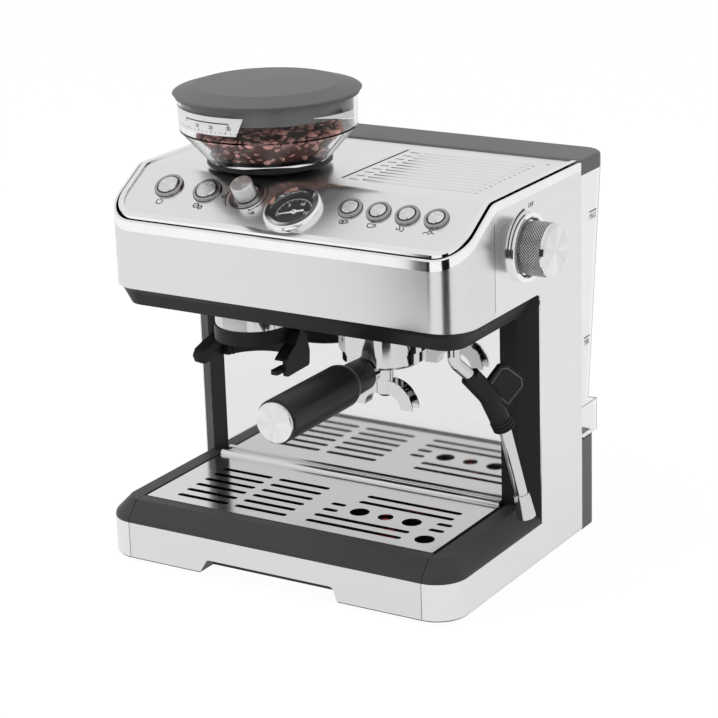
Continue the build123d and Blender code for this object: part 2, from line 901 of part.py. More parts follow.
with BuildPart() as rear_housing:
    # Cover between the steel sides
    with BuildSketch(Plane.XY.offset(dock_top - wall)):
        with Locations((0, case_rear - wall / 2)):
            Rectangle(case_width - 2 * sheet, wall)
    extrude(amount=deck_top - moulding_height - dock_top + wall)
    with BuildSketch(Plane.XY.offset(deck_top - moulding_height)):
        with Locations((0, case_rear - wall / 2)):
            Rectangle(case_width - 2 * deck_inset, wall)
    extrude(amount=moulding_height - deck_sheet)
    # Dock that carries the tank
    with BuildSketch(Plane.XY.offset(foot_height)) as dock_plan:
        with Locations((0, (case_rear + dock_rear) / 2)):
            Rectangle(case_width, dock_rear - case_rear)
        fillet(dock_plan.vertices().group_by(Axis.Y)[-1], dock_corner)
    extrude(amount=dock_top - foot_height)
    with BuildSketch(Plane.XY.offset(foot_height + wall)):
        with Locations((0, (case_rear + dock_rear - wall) / 2 - wall)):
            Rectangle(case_width - 2 * wall - dock_corner, dock_rear - case_rear - wall + 2 * wall)
    extrude(amount=dock_top - foot_height - 2 * wall, mode=Mode.SUBTRACT)
    # Socket for the tank's valve
    valve_y = (tank_front + dock_rear) / 2
    socket_depth = 14.0
    with BuildSketch(Plane.XY.offset(dock_top - socket_depth)):
        with Locations((0, valve_y)):
            Circle(valve_radius + 2 * part_gap + wall)
    extrude(amount=socket_depth)
    with BuildSketch(Plane.XY.offset(dock_top - socket_depth + wall)):
        with Locations((0, valve_y)):
            Circle(valve_radius + 2 * part_gap)
    extrude(amount=socket_depth, mode=Mode.SUBTRACT)
finish(rear_housing.part, "rear_housing")

gland_side = 44.5
gland_x = gland_side - case_half
gland_z = 26.0
with BuildPart() as cord_gland:
    with BuildSketch(Plane.XZ.offset(-dock_rear)):
        with Locations((gland_x, gland_z)):
            RectangleRounded(26, 20, 4)
    extrude(amount=-3)
    with BuildSketch(Plane.XZ.offset(-dock_rear - 3)):
        with Locations((gland_x, gland_z)):
            Circle(6)
            Circle(3.4, mode=Mode.SUBTRACT)
    extrude(amount=-9)
finish(cord_gland.part, "cord_gland")

# ---------------------------------------------------------------------------
# Grinder
# ---------------------------------------------------------------------------

grinder_axis = vertical_axis(grinder_x, hopper_y)
chamber_bottom = housing_bottom + 5.0

with BuildPart() as grinder_housing:
    bore = hopper_neck + running_gap
    revolve(
        outline(
            upright(grinder_x, hopper_y),
            (shaft_radius + 0.5, housing_bottom),
            (housing_radius, housing_bottom),
            (housing_radius, deck_under),
            (hopper_neck + wall, deck_under),
            (hopper_neck + wall, housing_lip),
            (bore, housing_lip),
            (bore, chamber_top),
            (burr_radius - 7, chamber_top),
            (burr_radius + 2, chamber_bottom),
            (shaft_radius + 0.5, chamber_bottom),
        ),
        grinder_axis,
    )
    # Chute down to the outlet
    with BuildSketch(Plane.XY.offset(outlet_bottom)):
        with Locations((grinder_x, group_y)):
            Circle(chute_radius)
    extrude(amount=chamber_bottom + 8 - outlet_bottom)
    with BuildSketch(Plane.XY.offset(outlet_bottom)):
        with Locations((grinder_x, group_y)):
            Circle(chute_radius - 2)
    extrude(amount=chamber_bottom - outlet_bottom + 2, mode=Mode.SUBTRACT)
    with BuildSketch(Plane.XY.offset(chamber_bottom)):
        with Locations((grinder_x, (group_y + hopper_y) / 2 - burr_radius / 2)):
            Rectangle(2 * (chute_radius - 3), burr_radius)
    extrude(amount=5, mode=Mode.SUBTRACT)
finish(grinder_housing.part, "grinder_housing")

with BuildPart() as grinder_motor:
    revolve(
        outline(
            upright(grinder_x, hopper_y),
            (0, shelf_top),
            (motor_radius - 3, shelf_top),
            (motor_radius, shelf_top + 3),
            (motor_radius, housing_bottom),
            (shaft_radius + running_gap, housing_bottom),
            (shaft_radius + running_gap, housing_bottom - 18),
            (0, housing_bottom - 18),
        ),
        grinder_axis,
    )
finish(grinder_motor.part, "grinder_motor")

with BuildPart() as cone_burr:
    revolve(
        outline(
            upright(grinder_x, hopper_y),
            (0, housing_bottom - 17),
            (shaft_radius, housing_bottom - 17),
            (shaft_radius, chamber_bottom + part_gap),
            (burr_radius, chamber_bottom + part_gap),
            (burr_radius - 9.5, chamber_top),
            (4, chamber_top + 5),
            (0, chamber_top + 5),
        ),
        grinder_axis,
    )
finish(cone_burr.part, "cone_burr")

with BuildPart() as grinder_outlet:
    with BuildSketch(Plane.XY.offset(outlet_bottom)):
        with Locations((grinder_x, group_y)):
            Circle(outlet_ring_radius)
            Circle(outlet_ring_radius - 3, mode=Mode.SUBTRACT)
    extrude(amount=shelf_z - outlet_bottom)
finish(grinder_outlet.part, "grinder_outlet")

cradle_ring = 12.0
arm_inner = 30.5
arm_width = 11.0
arm_plate = 3.5
arm_tip_y = -61.0
arm_drop = 34.0
arm_bottom = ring_bottom - arm_drop
arm_outer = arm_inner + arm_width
cradle_wall = 4.0
wall_radius = arm_outer - 2.5
with BuildPart() as portafilter_cradle:
    # Collar under the outlet ring
    with BuildSketch(Plane.XY.offset(outlet_bottom - cradle_ring)):
        with Locations((grinder_x, group_y)):
            Circle(outlet_ring_radius + 1)
            Circle(outlet_ring_radius - 5, mode=Mode.SUBTRACT)
    extrude(amount=cradle_ring)
    # Right arm: a plate that goes down to a hook
    with BuildSketch(Plane.YZ.offset(grinder_x + arm_inner)) as arm:
        with BuildLine():
            Polyline(
                (arm_tip_y, arm_bottom),
                (arm_tip_y, arm_bottom + 14),
                (arm_tip_y + 6, arm_bottom + 18),
                (arm_tip_y + 15, arm_bottom + 23),
                (arm_tip_y + 22, ring_bottom - 1),
                (arm_tip_y + 31, ring_bottom - 6),
                (arm_tip_y + 35, ring_bottom - 21),
                (arm_tip_y + 34, arm_bottom + 1),
                close=True,
            )
        make_face()
        fillet(arm.vertices(), 2.5)
    extrude(amount=arm_width)
    with BuildSketch(Plane.XY.offset(arm_bottom - 1)):
        with Locations((grinder_x + arm_inner + (arm_width - arm_plate) / 2 - 1, arm_tip_y + 18)):
            Rectangle(arm_width - arm_plate + 2, 50)
    extrude(amount=14, mode=Mode.SUBTRACT)
    with BuildSketch(Plane.XY.offset(arm_bottom + 4)):
        with Locations((grinder_x + arm_outer - arm_plate - 2.5, arm_tip_y - 1)):
            RectangleRounded(7, 17, 2)
    extrude(amount=3.5)
    # Left arm: a broad beak with a round tip
    with BuildSketch(Plane.YZ.offset(grinder_x - arm_outer)) as beak:
        with BuildLine():
            Polyline(
                (arm_tip_y, arm_bottom),
                (arm_tip_y - 8, arm_bottom + 4),
                (arm_tip_y - 11, arm_bottom + 10),
                (arm_tip_y - 7, arm_bottom + 15),
                (arm_tip_y + 4, arm_bottom + 18),
                (arm_tip_y + 17, arm_bottom + 21),
                (arm_tip_y + 22, ring_bottom - 1),
                (arm_tip_y + 33, ring_bottom - 6),
                (arm_tip_y + 35, arm_bottom),
                close=True,
            )
        make_face()
        fillet(beak.vertices(), 2.5)
    extrude(amount=arm_width)
    with BuildSketch(Plane.XY.offset(arm_bottom - 1)):
        with Locations((grinder_x - arm_inner - (arm_width - arm_plate) / 2 + 1, arm_tip_y + 10)):
            Rectangle(arm_width - arm_plate + 2, 44)
    extrude(amount=14, mode=Mode.SUBTRACT)
    # Wall round the back, from arm to arm, deeper on the right
    with BuildSketch(Plane.XY.offset(arm_bottom)) as shell:
        with Locations((grinder_x, group_y)):
            Circle(wall_radius)
            Circle(wall_radius - cradle_wall, mode=Mode.SUBTRACT)
        with Locations((grinder_x, group_y + 10 + wall_radius / 2)):
            Rectangle(2 * wall_radius, wall_radius, mode=Mode.INTERSECT)
    extrude(amount=ring_bottom - arm_bottom - 2)
    with BuildSketch(Plane.XY.offset(arm_bottom - 3)):
        with Locations((grinder_x, group_y)):
            Circle(wall_radius)
            Circle(wall_radius - cradle_wall, mode=Mode.SUBTRACT)
        with Locations((grinder_x + wall_radius / 2, group_y + 18 + wall_radius / 2)):
            Rectangle(wall_radius, wall_radius, mode=Mode.INTERSECT)
    extrude(amount=4)
    # Roof that joins the collar, the arms and the wall
    with BuildSketch(Plane.XY.offset(ring_bottom - 6)):
        with Locations((grinder_x, group_y)):
            Circle(wall_radius - 1)
            Circle(outlet_ring_radius - 5, mode=Mode.SUBTRACT)
        with Locations((grinder_x, group_y + 10 + wall_radius / 2)):
            Rectangle(2 * wall_radius, wall_radius, mode=Mode.INTERSECT)
    extrude(amount=4)
finish(portafilter_cradle.part, "portafilter_cradle")

# Bean hopper: dark base, clear bowl, beans and lid
hopper_plane = upright(grinder_x, hopper_y)
with BuildPart() as hopper_base:
    revolve(
        outline(
            hopper_plane,
            (hopper_neck - 5, chamber_top + 6),
            (hopper_neck, chamber_top + 6),
            (hopper_neck, housing_lip + part_gap),
            (hopper_neck + 6, housing_lip + part_gap),
            (hopper_flange, hopper_seat - 3.5),
            (hopper_flange, hopper_seat),
            (hopper_neck - 5, hopper_seat),
        ),
        grinder_axis,
    )
finish(hopper_base.part, "hopper_base")

bowl_foot = hopper_flange - 0.8
with BuildPart() as hopper_bowl:
    revolve(
        outline(
            hopper_plane,
            (bowl_foot - 5, hopper_seat),
            (bowl_foot, hopper_seat),
            (hopper_radius, hopper_shoulder),
            (hopper_radius + 0.7, hopper_top),
            (hopper_radius + 0.7 - hopper_wall, hopper_top),
            (hopper_radius - hopper_wall, hopper_shoulder + 1),
            (bowl_foot - 2, hopper_seat + hopper_wall),
            (bowl_foot - 5, hopper_seat + hopper_wall),
        ),
        grinder_axis,
    )
finish(hopper_bowl.part, "hopper_bowl")

with BuildPart() as coffee_beans:
    bowl_rise = (hopper_radius - bowl_foot) / (hopper_shoulder - hopper_seat)
    bean_edge = hopper_shoulder - 4
    revolve(
        outline(
            hopper_plane,
            (0, hopper_seat),
            (bowl_foot - 6, hopper_seat),
            (bowl_foot - 6, hopper_seat + hopper_wall + 1),
            (bowl_foot - 5 + bowl_rise * (bean_edge - hopper_seat), bean_edge),
            (hopper_neck, bean_level - 1),
            (0, bean_level),
        ),
        grinder_axis,
    )
finish(coffee_beans.part, "coffee_beans")

with BuildPart() as hopper_lid:
    plug = hopper_radius - hopper_wall - plug_gap
    lid_floor = hopper_top + part_gap
    revolve(
        outline(
            hopper_plane,
            (0, lid_top),
            (lid_radius - lid_bevel, lid_top - 0.8),
            (lid_radius - 0.8, lid_floor + 3.9),
            (lid_radius, lid_floor + 3.2),
            (lid_radius - 2, lid_floor + 1),
            (lid_radius - 2, lid_floor),
            (plug, lid_floor),
            (plug, lid_floor - plug_depth),
            (plug - lid_sheet, lid_floor - plug_depth),
            (plug - lid_sheet, lid_floor + 1),
            (lid_radius - lid_bevel - 1, lid_top - 0.8 - lid_sheet),
            (0, lid_top - lid_sheet),
        ),
        grinder_axis,
    )
finish(hopper_lid.part, "hopper_lid")

# ---------------------------------------------------------------------------
# Brewing group and portafilter
# ---------------------------------------------------------------------------

group_axis = vertical_axis(group_x, group_y)
group_plane = upright(group_x, group_y)
screen_sheet = 1.6

with BuildPart() as group_head:
    revolve(
        outline(
            group_plane,
            (0, group_ceiling),
            (group_bore, group_ceiling),
            (group_bore, ring_bottom),
            (group_ring_radius, ring_bottom),
            (group_ring_radius, shelf_z),
            (group_bore - 10, shelf_z),
            (group_bore - 10, shelf_top),
            (0, shelf_top),
        ),
        group_axis,
    )
finish(group_head.part, "group_head")

with BuildPart() as shower_screen:
    with BuildSketch(Plane.XY.offset(group_ceiling - screen_sheet)):
        with Locations((group_x, group_y)):
            Circle(bowl_radius - 6)
            with PolarLocations(18, 12):
                Circle(1.2, mode=Mode.SUBTRACT)
            with PolarLocations(10, 6):
                Circle(1.2, mode=Mode.SUBTRACT)
    extrude(amount=screen_sheet)
finish(shower_screen.part, "shower_screen")

with BuildPart() as boiler:
    revolve(
        outline(
            group_plane,
            (0, shelf_top),
            (boiler_radius, shelf_top),
            (boiler_radius, boiler_top - 6),
            (boiler_radius - 6, boiler_top),
            (0, boiler_top),
        ),
        group_axis,
    )
finish(boiler.part, "boiler")

bowl_floor = bowl_bottom + 2.5
rim_radius = group_bore - 0.7
rim_top = group_ceiling - screen_sheet - 1.2
basket_radius = rim_radius - bowl_wall - 0.1
basket_bottom = bowl_floor + 1.5

with BuildPart() as portafilter_body:
    revolve(
        outline(
            group_plane,
            (4, bowl_bottom),
            (bowl_radius - 4, bowl_bottom),
            (bowl_radius, bowl_bottom + 3),
            (bowl_radius, ring_bottom - part_gap),
            (rim_radius, ring_bottom - part_gap),
            (rim_radius, rim_top),
            (rim_radius - bowl_wall, rim_top),
            (rim_radius - bowl_wall, bowl_floor),
            (4, bowl_floor),
        ),
        group_axis,
    )
    # Lug that takes the handle
    with BuildSketch(Plane.XZ.offset(-(group_y - bowl_radius - 1))):
        with Locations((group_x, handle_z)):
            Circle(handle_neck - 2)
    extrude(amount=-10)
    revolve(
        outline(
            group_plane,
            (0, bowl_floor),
            (rim_radius - bowl_wall, bowl_floor),
            (rim_radius - bowl_wall, rim_top),
            (0, rim_top),
        ),
        group_axis,
        mode=Mode.SUBTRACT,
    )
finish(portafilter_body.part, "portafilter_body")

with BuildPart() as filter_basket:
    revolve(
        outline(
            group_plane,
            (0, basket_bottom),
            (basket_radius - 3, basket_bottom),
            (basket_radius, basket_bottom + 3),
            (basket_radius, rim_top),
            (rim_radius - 0.2, rim_top),
            (rim_radius - 0.2, rim_top + basket_wall),
            (basket_radius - basket_wall, rim_top + basket_wall),
            (basket_radius - basket_wall, basket_bottom + 3.3),
            (basket_radius - 3.3, basket_bottom + basket_wall),
            (0, basket_bottom + basket_wall),
        ),
        group_axis,
    )
finish(filter_basket.part, "filter_basket")

with BuildPart() as twin_spout:
    # Two curved channels, open on their outer side
    for side in (-1, 1):
        centre = (group_x + side * (spout_neck - 2), spout_tip)
        with BuildSketch(Plane.XZ.offset(-group_y - spout_width / 2)):
            with Locations(centre):
                Circle(spout_reach)
                Circle(spout_inner, mode=Mode.SUBTRACT)
            with Locations((centre[0] + side * spout_reach / 2, spout_tip + spout_reach / 2)):
                Rectangle(spout_reach, spout_reach, mode=Mode.INTERSECT)
        extrude(amount=spout_width)
        with BuildSketch(Plane.XZ.offset(-group_y - spout_width / 2 + spout_wall)):
            with Locations(centre):
                Circle(spout_reach + 1)
                Circle(spout_inner + spout_wall, mode=Mode.SUBTRACT)
            with Locations((centre[0] + side * (spout_reach / 2 + 1), spout_tip + spout_reach / 2)):
                Rectangle(spout_reach, spout_reach + 4, mode=Mode.INTERSECT)
        extrude(amount=spout_width - 2 * spout_wall, mode=Mode.SUBTRACT)
    revolve(
        outline(
            group_plane,
            (0, spout_bottom),
            (spout_neck - 2, spout_bottom),
            (spout_neck, spout_bottom + 2),
            (spout_neck, bowl_bottom - 6),
            (spout_neck + 3, bowl_bottom - 6),
            (spout_neck + 3, bowl_bottom),
            (0, bowl_bottom),
        ),
        group_axis,
    )
finish(twin_spout.part, "twin_spout")

handle_root = group_y - bowl_radius - 1
with BuildPart() as handle_grip:
    with BuildSketch(Plane(origin=(group_x, 0, handle_z), x_dir=(0, 1, 0), z_dir=(1, 0, 0))):
        with BuildLine():
            Polyline(
                (handle_root, 0),
                (handle_root, handle_neck),
                (handle_shoulder + 5, handle_neck + 0.6),
                (handle_shoulder, handle_radius - 1.2),
                (handle_shoulder - 4, handle_radius),
                (handle_end, handle_radius),
                (handle_end, 0),
                close=True,
            )
        make_face()
    revolve(axis=Axis((group_x, 0, handle_z), (0, 1, 0)))
    chamfer(handle_grip.edges().sort_by(Axis.Y)[0], 1.2)
finish(handle_grip.part, "handle_grip")

with BuildPart() as handle_cap:
    with BuildSketch(Plane.XZ.offset(-handle_end)):
        with Locations((group_x, handle_z)):
            Circle(cap_radius)
    extrude(amount=cap_depth)
    chamfer(handle_cap.edges().sort_by(Axis.Y)[0], 0.8)
finish(handle_cap.part, "handle_cap")

# ---------------------------------------------------------------------------
# Steam knob, valve and wand
# ---------------------------------------------------------------------------

knob_face = case_half + knob_bezel_rise + knob_length - 2
valve_neck = 12.0
valve_body = 30.0
valve_size = 22.0
valve_end = case_half - sheet - valve_neck

with BuildPart() as steam_knob_bezel:
    with BuildSketch(Plane.YZ.offset(case_half)):
        with Locations((knob_y, knob_z)):
            Circle(knob_bezel_radius)
            Circle(shaft_radius + running_gap, mode=Mode.SUBTRACT)
    extrude(amount=knob_bezel_rise)
    with BuildSketch(Plane.YZ.offset(case_half + knob_bezel_rise - 2.4)):
        with Locations((knob_y, knob_z)):
            Circle(knob_radius + 2)
    extrude(amount=3, mode=Mode.SUBTRACT)
    chamfer(steam_knob_bezel.edges().group_by(Axis.X)[-1], 0.6)
finish(steam_knob_bezel.part, "steam_knob_bezel")

with BuildPart() as steam_knob:
    with BuildSketch(Plane.YZ.offset(case_half + knob_bezel_rise - 2)):
        with Locations((knob_y, knob_z)):
            Circle(knob_radius)
    extrude(amount=knob_length)
    chamfer(steam_knob.edges().group_by(Axis.X)[-1], 1.0)
    with BuildSketch(Plane.YZ.offset(valve_end - 8)):
        with Locations((knob_y, knob_z)):
            Circle(shaft_radius)
    extrude(amount=case_half + knob_bezel_rise - valve_end + 8)
finish(steam_knob.part, "steam_knob")

with BuildPart() as steam_valve:
    with BuildSketch(Plane.YZ.offset(valve_end - valve_body)):
        with Locations((knob_y, knob_z)):
            Rectangle(valve_size, valve_size)
    extrude(amount=valve_body)
    with BuildSketch(Plane.YZ.offset(valve_end)):
        with Locations((knob_y, knob_z)):
            Circle(8)
    extrude(amount=case_half - sheet - valve_end)
    with BuildSketch(Plane.YZ.offset(valve_end - 9)):
        with Locations((knob_y, knob_z)):
            Circle(shaft_radius + running_gap)
    extrude(amount=beyond, mode=Mode.SUBTRACT)
finish(steam_valve.part, "steam_valve")

with BuildPart() as wand_socket:
    bore = wand_radius + running_gap
    revolve(
        outline(
            upright(wand_x, wand_y),
            (bore, sleeve_top),
            (sleeve_radius, sleeve_top),
            (sleeve_radius, shelf_top + 2),
            (sleeve_flange, shelf_top + 2),
            (sleeve_flange, shelf_top),
            (sleeve_radius, shelf_top),
            (sleeve_radius, skirt_bottom + wall),
            (bore, skirt_bottom + wall),
        ),
        vertical_axis(wand_x, wand_y),
    )
finish(wand_socket.part, "wand_socket")


def wand_level(rise):
    """A height in the bay, from the sill up, that keeps its share of the bay's height."""
    return sill_top + rise * bay_height / 160


def wand_point(out, z):
    """A point of the wand's upright plane, by distance from its swivel axis."""
    return (wand_x + out * cos(heading), wand_y + out * sin(heading), z)


collar_z = sleeve_top + part_gap
wand_top = collar_z + 2
wand_turns = [(0, 142.0), (12.4, 129.5), (28.5, 110.5), (41.5, 81.5), (55.0, 25.5)]
wand_route = [(0, wand_top)] + [(out, wand_level(rise)) for out, rise in wand_turns]
tip_end = (59.0, wand_level(7.5))
wand_bends = [12, 30, 30, 40]

with BuildPart() as wand_tube:
    add(tube_along(wand_radius, wand_bends, *[wand_point(*p) for p in wand_route]))
    # Collar that hangs the wand in its sleeve
    with BuildSketch(Plane.XY.offset(collar_z)):
        with Locations((wand_x, wand_y)):
            Circle(wand_collar)
    extrude(amount=wand_top - collar_z)
    tip_start = Vector(*wand_point(*wand_route[-1]))
    tip_way = (Vector(*wand_point(*tip_end)) - tip_start).normalized()
    with BuildSketch(Plane(origin=tip_start, z_dir=tip_way)):
        Circle(wand_radius + 1)
    with BuildSketch(Plane(origin=tip_start + tip_way * 4, z_dir=tip_way)):
        Circle(wand_tip_radius - 0.8)
    loft()
    with BuildSketch(Plane(origin=tip_start + tip_way * 4, z_dir=tip_way)):
        Circle(wand_tip_radius - 0.8)
    with BuildSketch(Plane(origin=tip_start + tip_way * wand_tip_length, z_dir=tip_way)):
        Circle(wand_tip_radius)
    loft()
finish(wand_tube.part, "wand_tube")

grip_turns = [(13.2, 128.6), (28.5, 110.5), (41.3, 82.0)]
grip_route = [(out, wand_level(rise)) for out, rise in grip_turns]
tab_turns = [(23.5, 118.0), (37.5, 134.0), (43.5, 134.0), (57.0, 122.5), (57.6, 114.5), (43.5, 99.0)]
tab_outline = [(out, wand_level(rise)) for out, rise in tab_turns]
tab_depth = 6.0
wand_plane = Plane(origin=(wand_x, wand_y, 0), x_dir=(cos(heading), sin(heading), 0), z_dir=(sin(heading), -cos(heading), 0))

with BuildPart() as wand_grip:
    add(tube_along(grip_radius, [30], *[wand_point(*p) for p in grip_route]))
    with BuildSketch(wand_plane.offset(-tab_depth / 2)) as tab:
        with BuildLine():
            Polyline(*tab_outline, close=True)
        make_face()
        fillet(tab.vertices(), 2)
    extrude(amount=tab_depth)
    add(wand_tube.part, mode=Mode.SUBTRACT)
finish(wand_grip.part, "wand_grip")

# ---------------------------------------------------------------------------
# Pump, valves and hoses
# ---------------------------------------------------------------------------

with BuildPart() as pump:
    with BuildSketch(Plane.YZ.offset(pump_x - pump_length / 2)):
        with Locations((pump_y, pump_z)):
            Circle(pump_radius)
    extrude(amount=pump_length)
    chamfer(pump.edges(), 2)
finish(pump.part, "pump")

solenoid_gap = 17.0
solenoid_x = group_x - boiler_radius - solenoid_gap
solenoid_y = 46.0
solenoid_width = 26.0
solenoid_depth = 24.0
solenoid_height = 18.0
solenoid_coil = 22.0
with BuildPart() as solenoid_valve:
    with BuildSketch(Plane.XY.offset(shelf_top)):
        with Locations((solenoid_x, solenoid_y)):
            Rectangle(solenoid_width, solenoid_depth)
    extrude(amount=solenoid_height)
    with BuildSketch(Plane.XY.offset(shelf_top + solenoid_height)):
        with Locations((solenoid_x, solenoid_y)):
            Circle(solenoid_height / 2)
    extrude(amount=solenoid_coil)
finish(solenoid_valve.part, "solenoid_valve")

with BuildPart() as water_hoses:
    pump_left = pump_x - pump_length / 2
    pump_right = pump_x + pump_length / 2
    rear_face = case_rear - wall
    hose_bend = 14.0
    add(
        tube_along(
            hose_radius,
            hose_bend,
            (pump_left, pump_y, pump_z),
            (pump_left - 34, pump_y, pump_z),
            (pump_left - 34, rear_face, pump_z),
        )
    )
    add(
        tube_along(
            hose_radius,
            hose_bend,
            (pump_right, pump_y, pump_z),
            (group_x, pump_y, pump_z),
            (group_x, pump_y, boiler_top - 20),
            (group_x, group_y + boiler_radius - 0.5, boiler_top - 20),
        )
    )
    add(
        tube_along(
            hose_radius,
            hose_bend,
            (group_x + boiler_radius - 0.5, group_y, boiler_top - 11),
            (valve_end - 15, group_y, boiler_top - 11),
            (valve_end - 15, knob_y - 11, boiler_top - 11),
        )
    )
    add(
        tube_along(
            hose_radius,
            10.0,
            (wand_x, knob_y, knob_z - 11),
            (wand_x, knob_y, wand_top + 14),
            (wand_x, wand_y, wand_top + 14),
            (wand_x, wand_y, wand_top + part_gap),
        )
    )
    add(
        tube_along(
            hose_radius,
            10.0,
            (solenoid_x + solenoid_width / 2, solenoid_y, shelf_top + solenoid_height / 2),
            (group_x - boiler_radius + 11, solenoid_y, shelf_top + solenoid_height / 2),
            (group_x - boiler_radius + 11, group_y + boiler_radius / 2, shelf_top + solenoid_height / 2),
        )
    )
    add(boiler.part, mode=Mode.SUBTRACT)
finish(water_hoses.part, "water_hoses")

# ---------------------------------------------------------------------------
# Drip tray
# ---------------------------------------------------------------------------


def front_recess(depth):
    """Finger recess under the tray's front, on the front plane."""
    with BuildSketch(Plane.XZ.offset(-case_front + depth)) as face:
        with BuildLine():
            Polyline(
                (recess_left, 0),
                (recess_left, foot_height),
                (recess_left + 8, foot_height + recess_height),
                (recess_right - 4, foot_height + recess_height),
                (recess_right, foot_height),
                (recess_right, 0),
                close=True,
            )
        make_face()
        fillet(face.vertices().group_by(Axis.Y)[-1], 4)
    return face.sketch


with BuildPart() as drip_tray:
    # Front block, shaped like the sill
    with BuildSketch(Plane.XY.offset(base_top)):
        with Locations((0, (case_front + block_rear) / 2)):
            Rectangle(2 * tray_half, block_rear - case_front)
    extrude(amount=sill_top - base_top)
    add(sill_form.part, mode=Mode.INTERSECT)
    with BuildSketch(Plane.XY.offset(foot_height)):
        with Locations((0, (case_front + sheet + block_rear) / 2)):
            Rectangle(2 * tray_half, block_rear - case_front - sheet)
    extrude(amount=base_top - foot_height)
    # Step that the grid's front edge lies on
    with BuildSketch(Plane.XY.offset(tray_rim)):
        with Locations((0, (grid_front - part_gap + block_rear) / 2)):
            Rectangle(2 * tray_half, block_rear - grid_front + part_gap)
    extrude(amount=sill_top, mode=Mode.SUBTRACT)
    # Basin behind the block
    basin_half = grid_half
    basin_rear = grid_rear - part_gap
    with BuildSketch(Plane.XY.offset(tray_floor_z)):
        with Locations((0, (block_rear + basin_rear) / 2)):
            Rectangle(2 * basin_half, basin_rear - block_rear)
    extrude(amount=tray_rim - tray_floor_z)
    with BuildSketch(Plane.XY.offset(tray_floor_z + tray_wall)):
        with Locations((0, (block_rear + basin_rear) / 2)):
            Rectangle(2 * (basin_half - tray_wall), basin_rear - block_rear - 2 * tray_wall)
    extrude(amount=sill_top, mode=Mode.SUBTRACT)
    # Guide of the float
    with BuildSketch(Plane.XY.offset(tray_floor_z + tray_wall)):
        with Locations((float_x, float_y)):
            Circle(float_radius + part_gap + tray_wall)
            Circle(float_radius + part_gap, mode=Mode.SUBTRACT)
    extrude(amount=18)
    extrude(front_recess(0), -20, mode=Mode.SUBTRACT)
finish(drip_tray.part, "drip_tray")

with BuildPart() as tray_front:
    with BuildSketch(Plane.XY.offset(foot_height + strip_lip)):
        with Locations((0, case_front + sheet / 2)):
            Rectangle(2 * tray_half, sheet)
    extrude(amount=base_top - foot_height - strip_lip)
    extrude(front_recess(sheet), -4 * sheet, mode=Mode.SUBTRACT)
finish(tray_front.part, "tray_front")

# Places and lengths along the grid keep their share of its width
spread = grid_half / 134
left_slots_x = (-88 * spread, -32 * spread)
left_slot_length = 49 * spread
long_slot_length = 87 * spread
short_slot_length = 13.5 * spread
with BuildPart() as drip_grid:
    with BuildSketch(Plane.XY.offset(grid_under)):
        with Locations((0, (grid_front + grid_rear) / 2)):
            Rectangle(2 * grid_half, grid_rear - grid_front)
        rows = [slot_first_y + i * slot_pitch for i in range(6)]
        for y in rows:
            for x in left_slots_x:
                with Locations((x, y)):
                    SlotOverall(left_slot_length, slot_width, mode=Mode.SUBTRACT)
        for y in rows[:2]:
            with Locations((11 * spread + long_slot_length / 2, y)):
                SlotOverall(long_slot_length, slot_width, mode=Mode.SUBTRACT)
        for y in rows[2:4]:
            with Locations((17.5 * spread, y), (115 * spread, y)):
                SlotOverall(short_slot_length, slot_width, mode=Mode.SUBTRACT)
        for y in rows[4:]:
            with Locations((29 * spread + long_slot_length / 2, y)):
                SlotOverall(long_slot_length, slot_width, mode=Mode.SUBTRACT)
        hole_y = (rows[2] + rows[3]) / 2
        corner_hole_y = (rows[0] + rows[1]) / 2
        with Locations((41 * spread, hole_y), (89 * spread, hole_y), (115.5 * spread, corner_hole_y)):
            Circle(grid_hole, mode=Mode.SUBTRACT)
        with Locations((float_x, float_y)):
            Circle(float_radius - 0.6, mode=Mode.SUBTRACT)
    extrude(amount=grid_sheet)
    # Rolled rail along the rear edge
    with BuildSketch(Plane.YZ.offset(-grid_half)):
        with Locations((grid_rear - rail_radius, grid_top)):
            Circle(rail_radius)
        with Locations((grid_rear - rail_radius, grid_top + rail_radius)):
            Rectangle(2 * rail_radius, 2 * rail_radius, mode=Mode.INTERSECT)
    extrude(amount=2 * grid_half)
finish(drip_grid.part, "drip_grid")

float_floor = tray_floor_z + tray_wall + part_gap
with BuildPart() as tray_float:
    with BuildSketch(Plane.XY.offset(float_floor)):
        with Locations((float_x, float_y)):
            Circle(float_radius)
    extrude(amount=float_height)
    with BuildSketch(Plane.XY.offset(float_floor + float_height)):
        with Locations((float_x, float_y)):
            Circle(float_tip_radius)
    extrude(amount=grid_under - 1 - float_floor - float_height)
finish(tray_float.part, "tray_float")

# ---------------------------------------------------------------------------
# Water tank
# ---------------------------------------------------------------------------

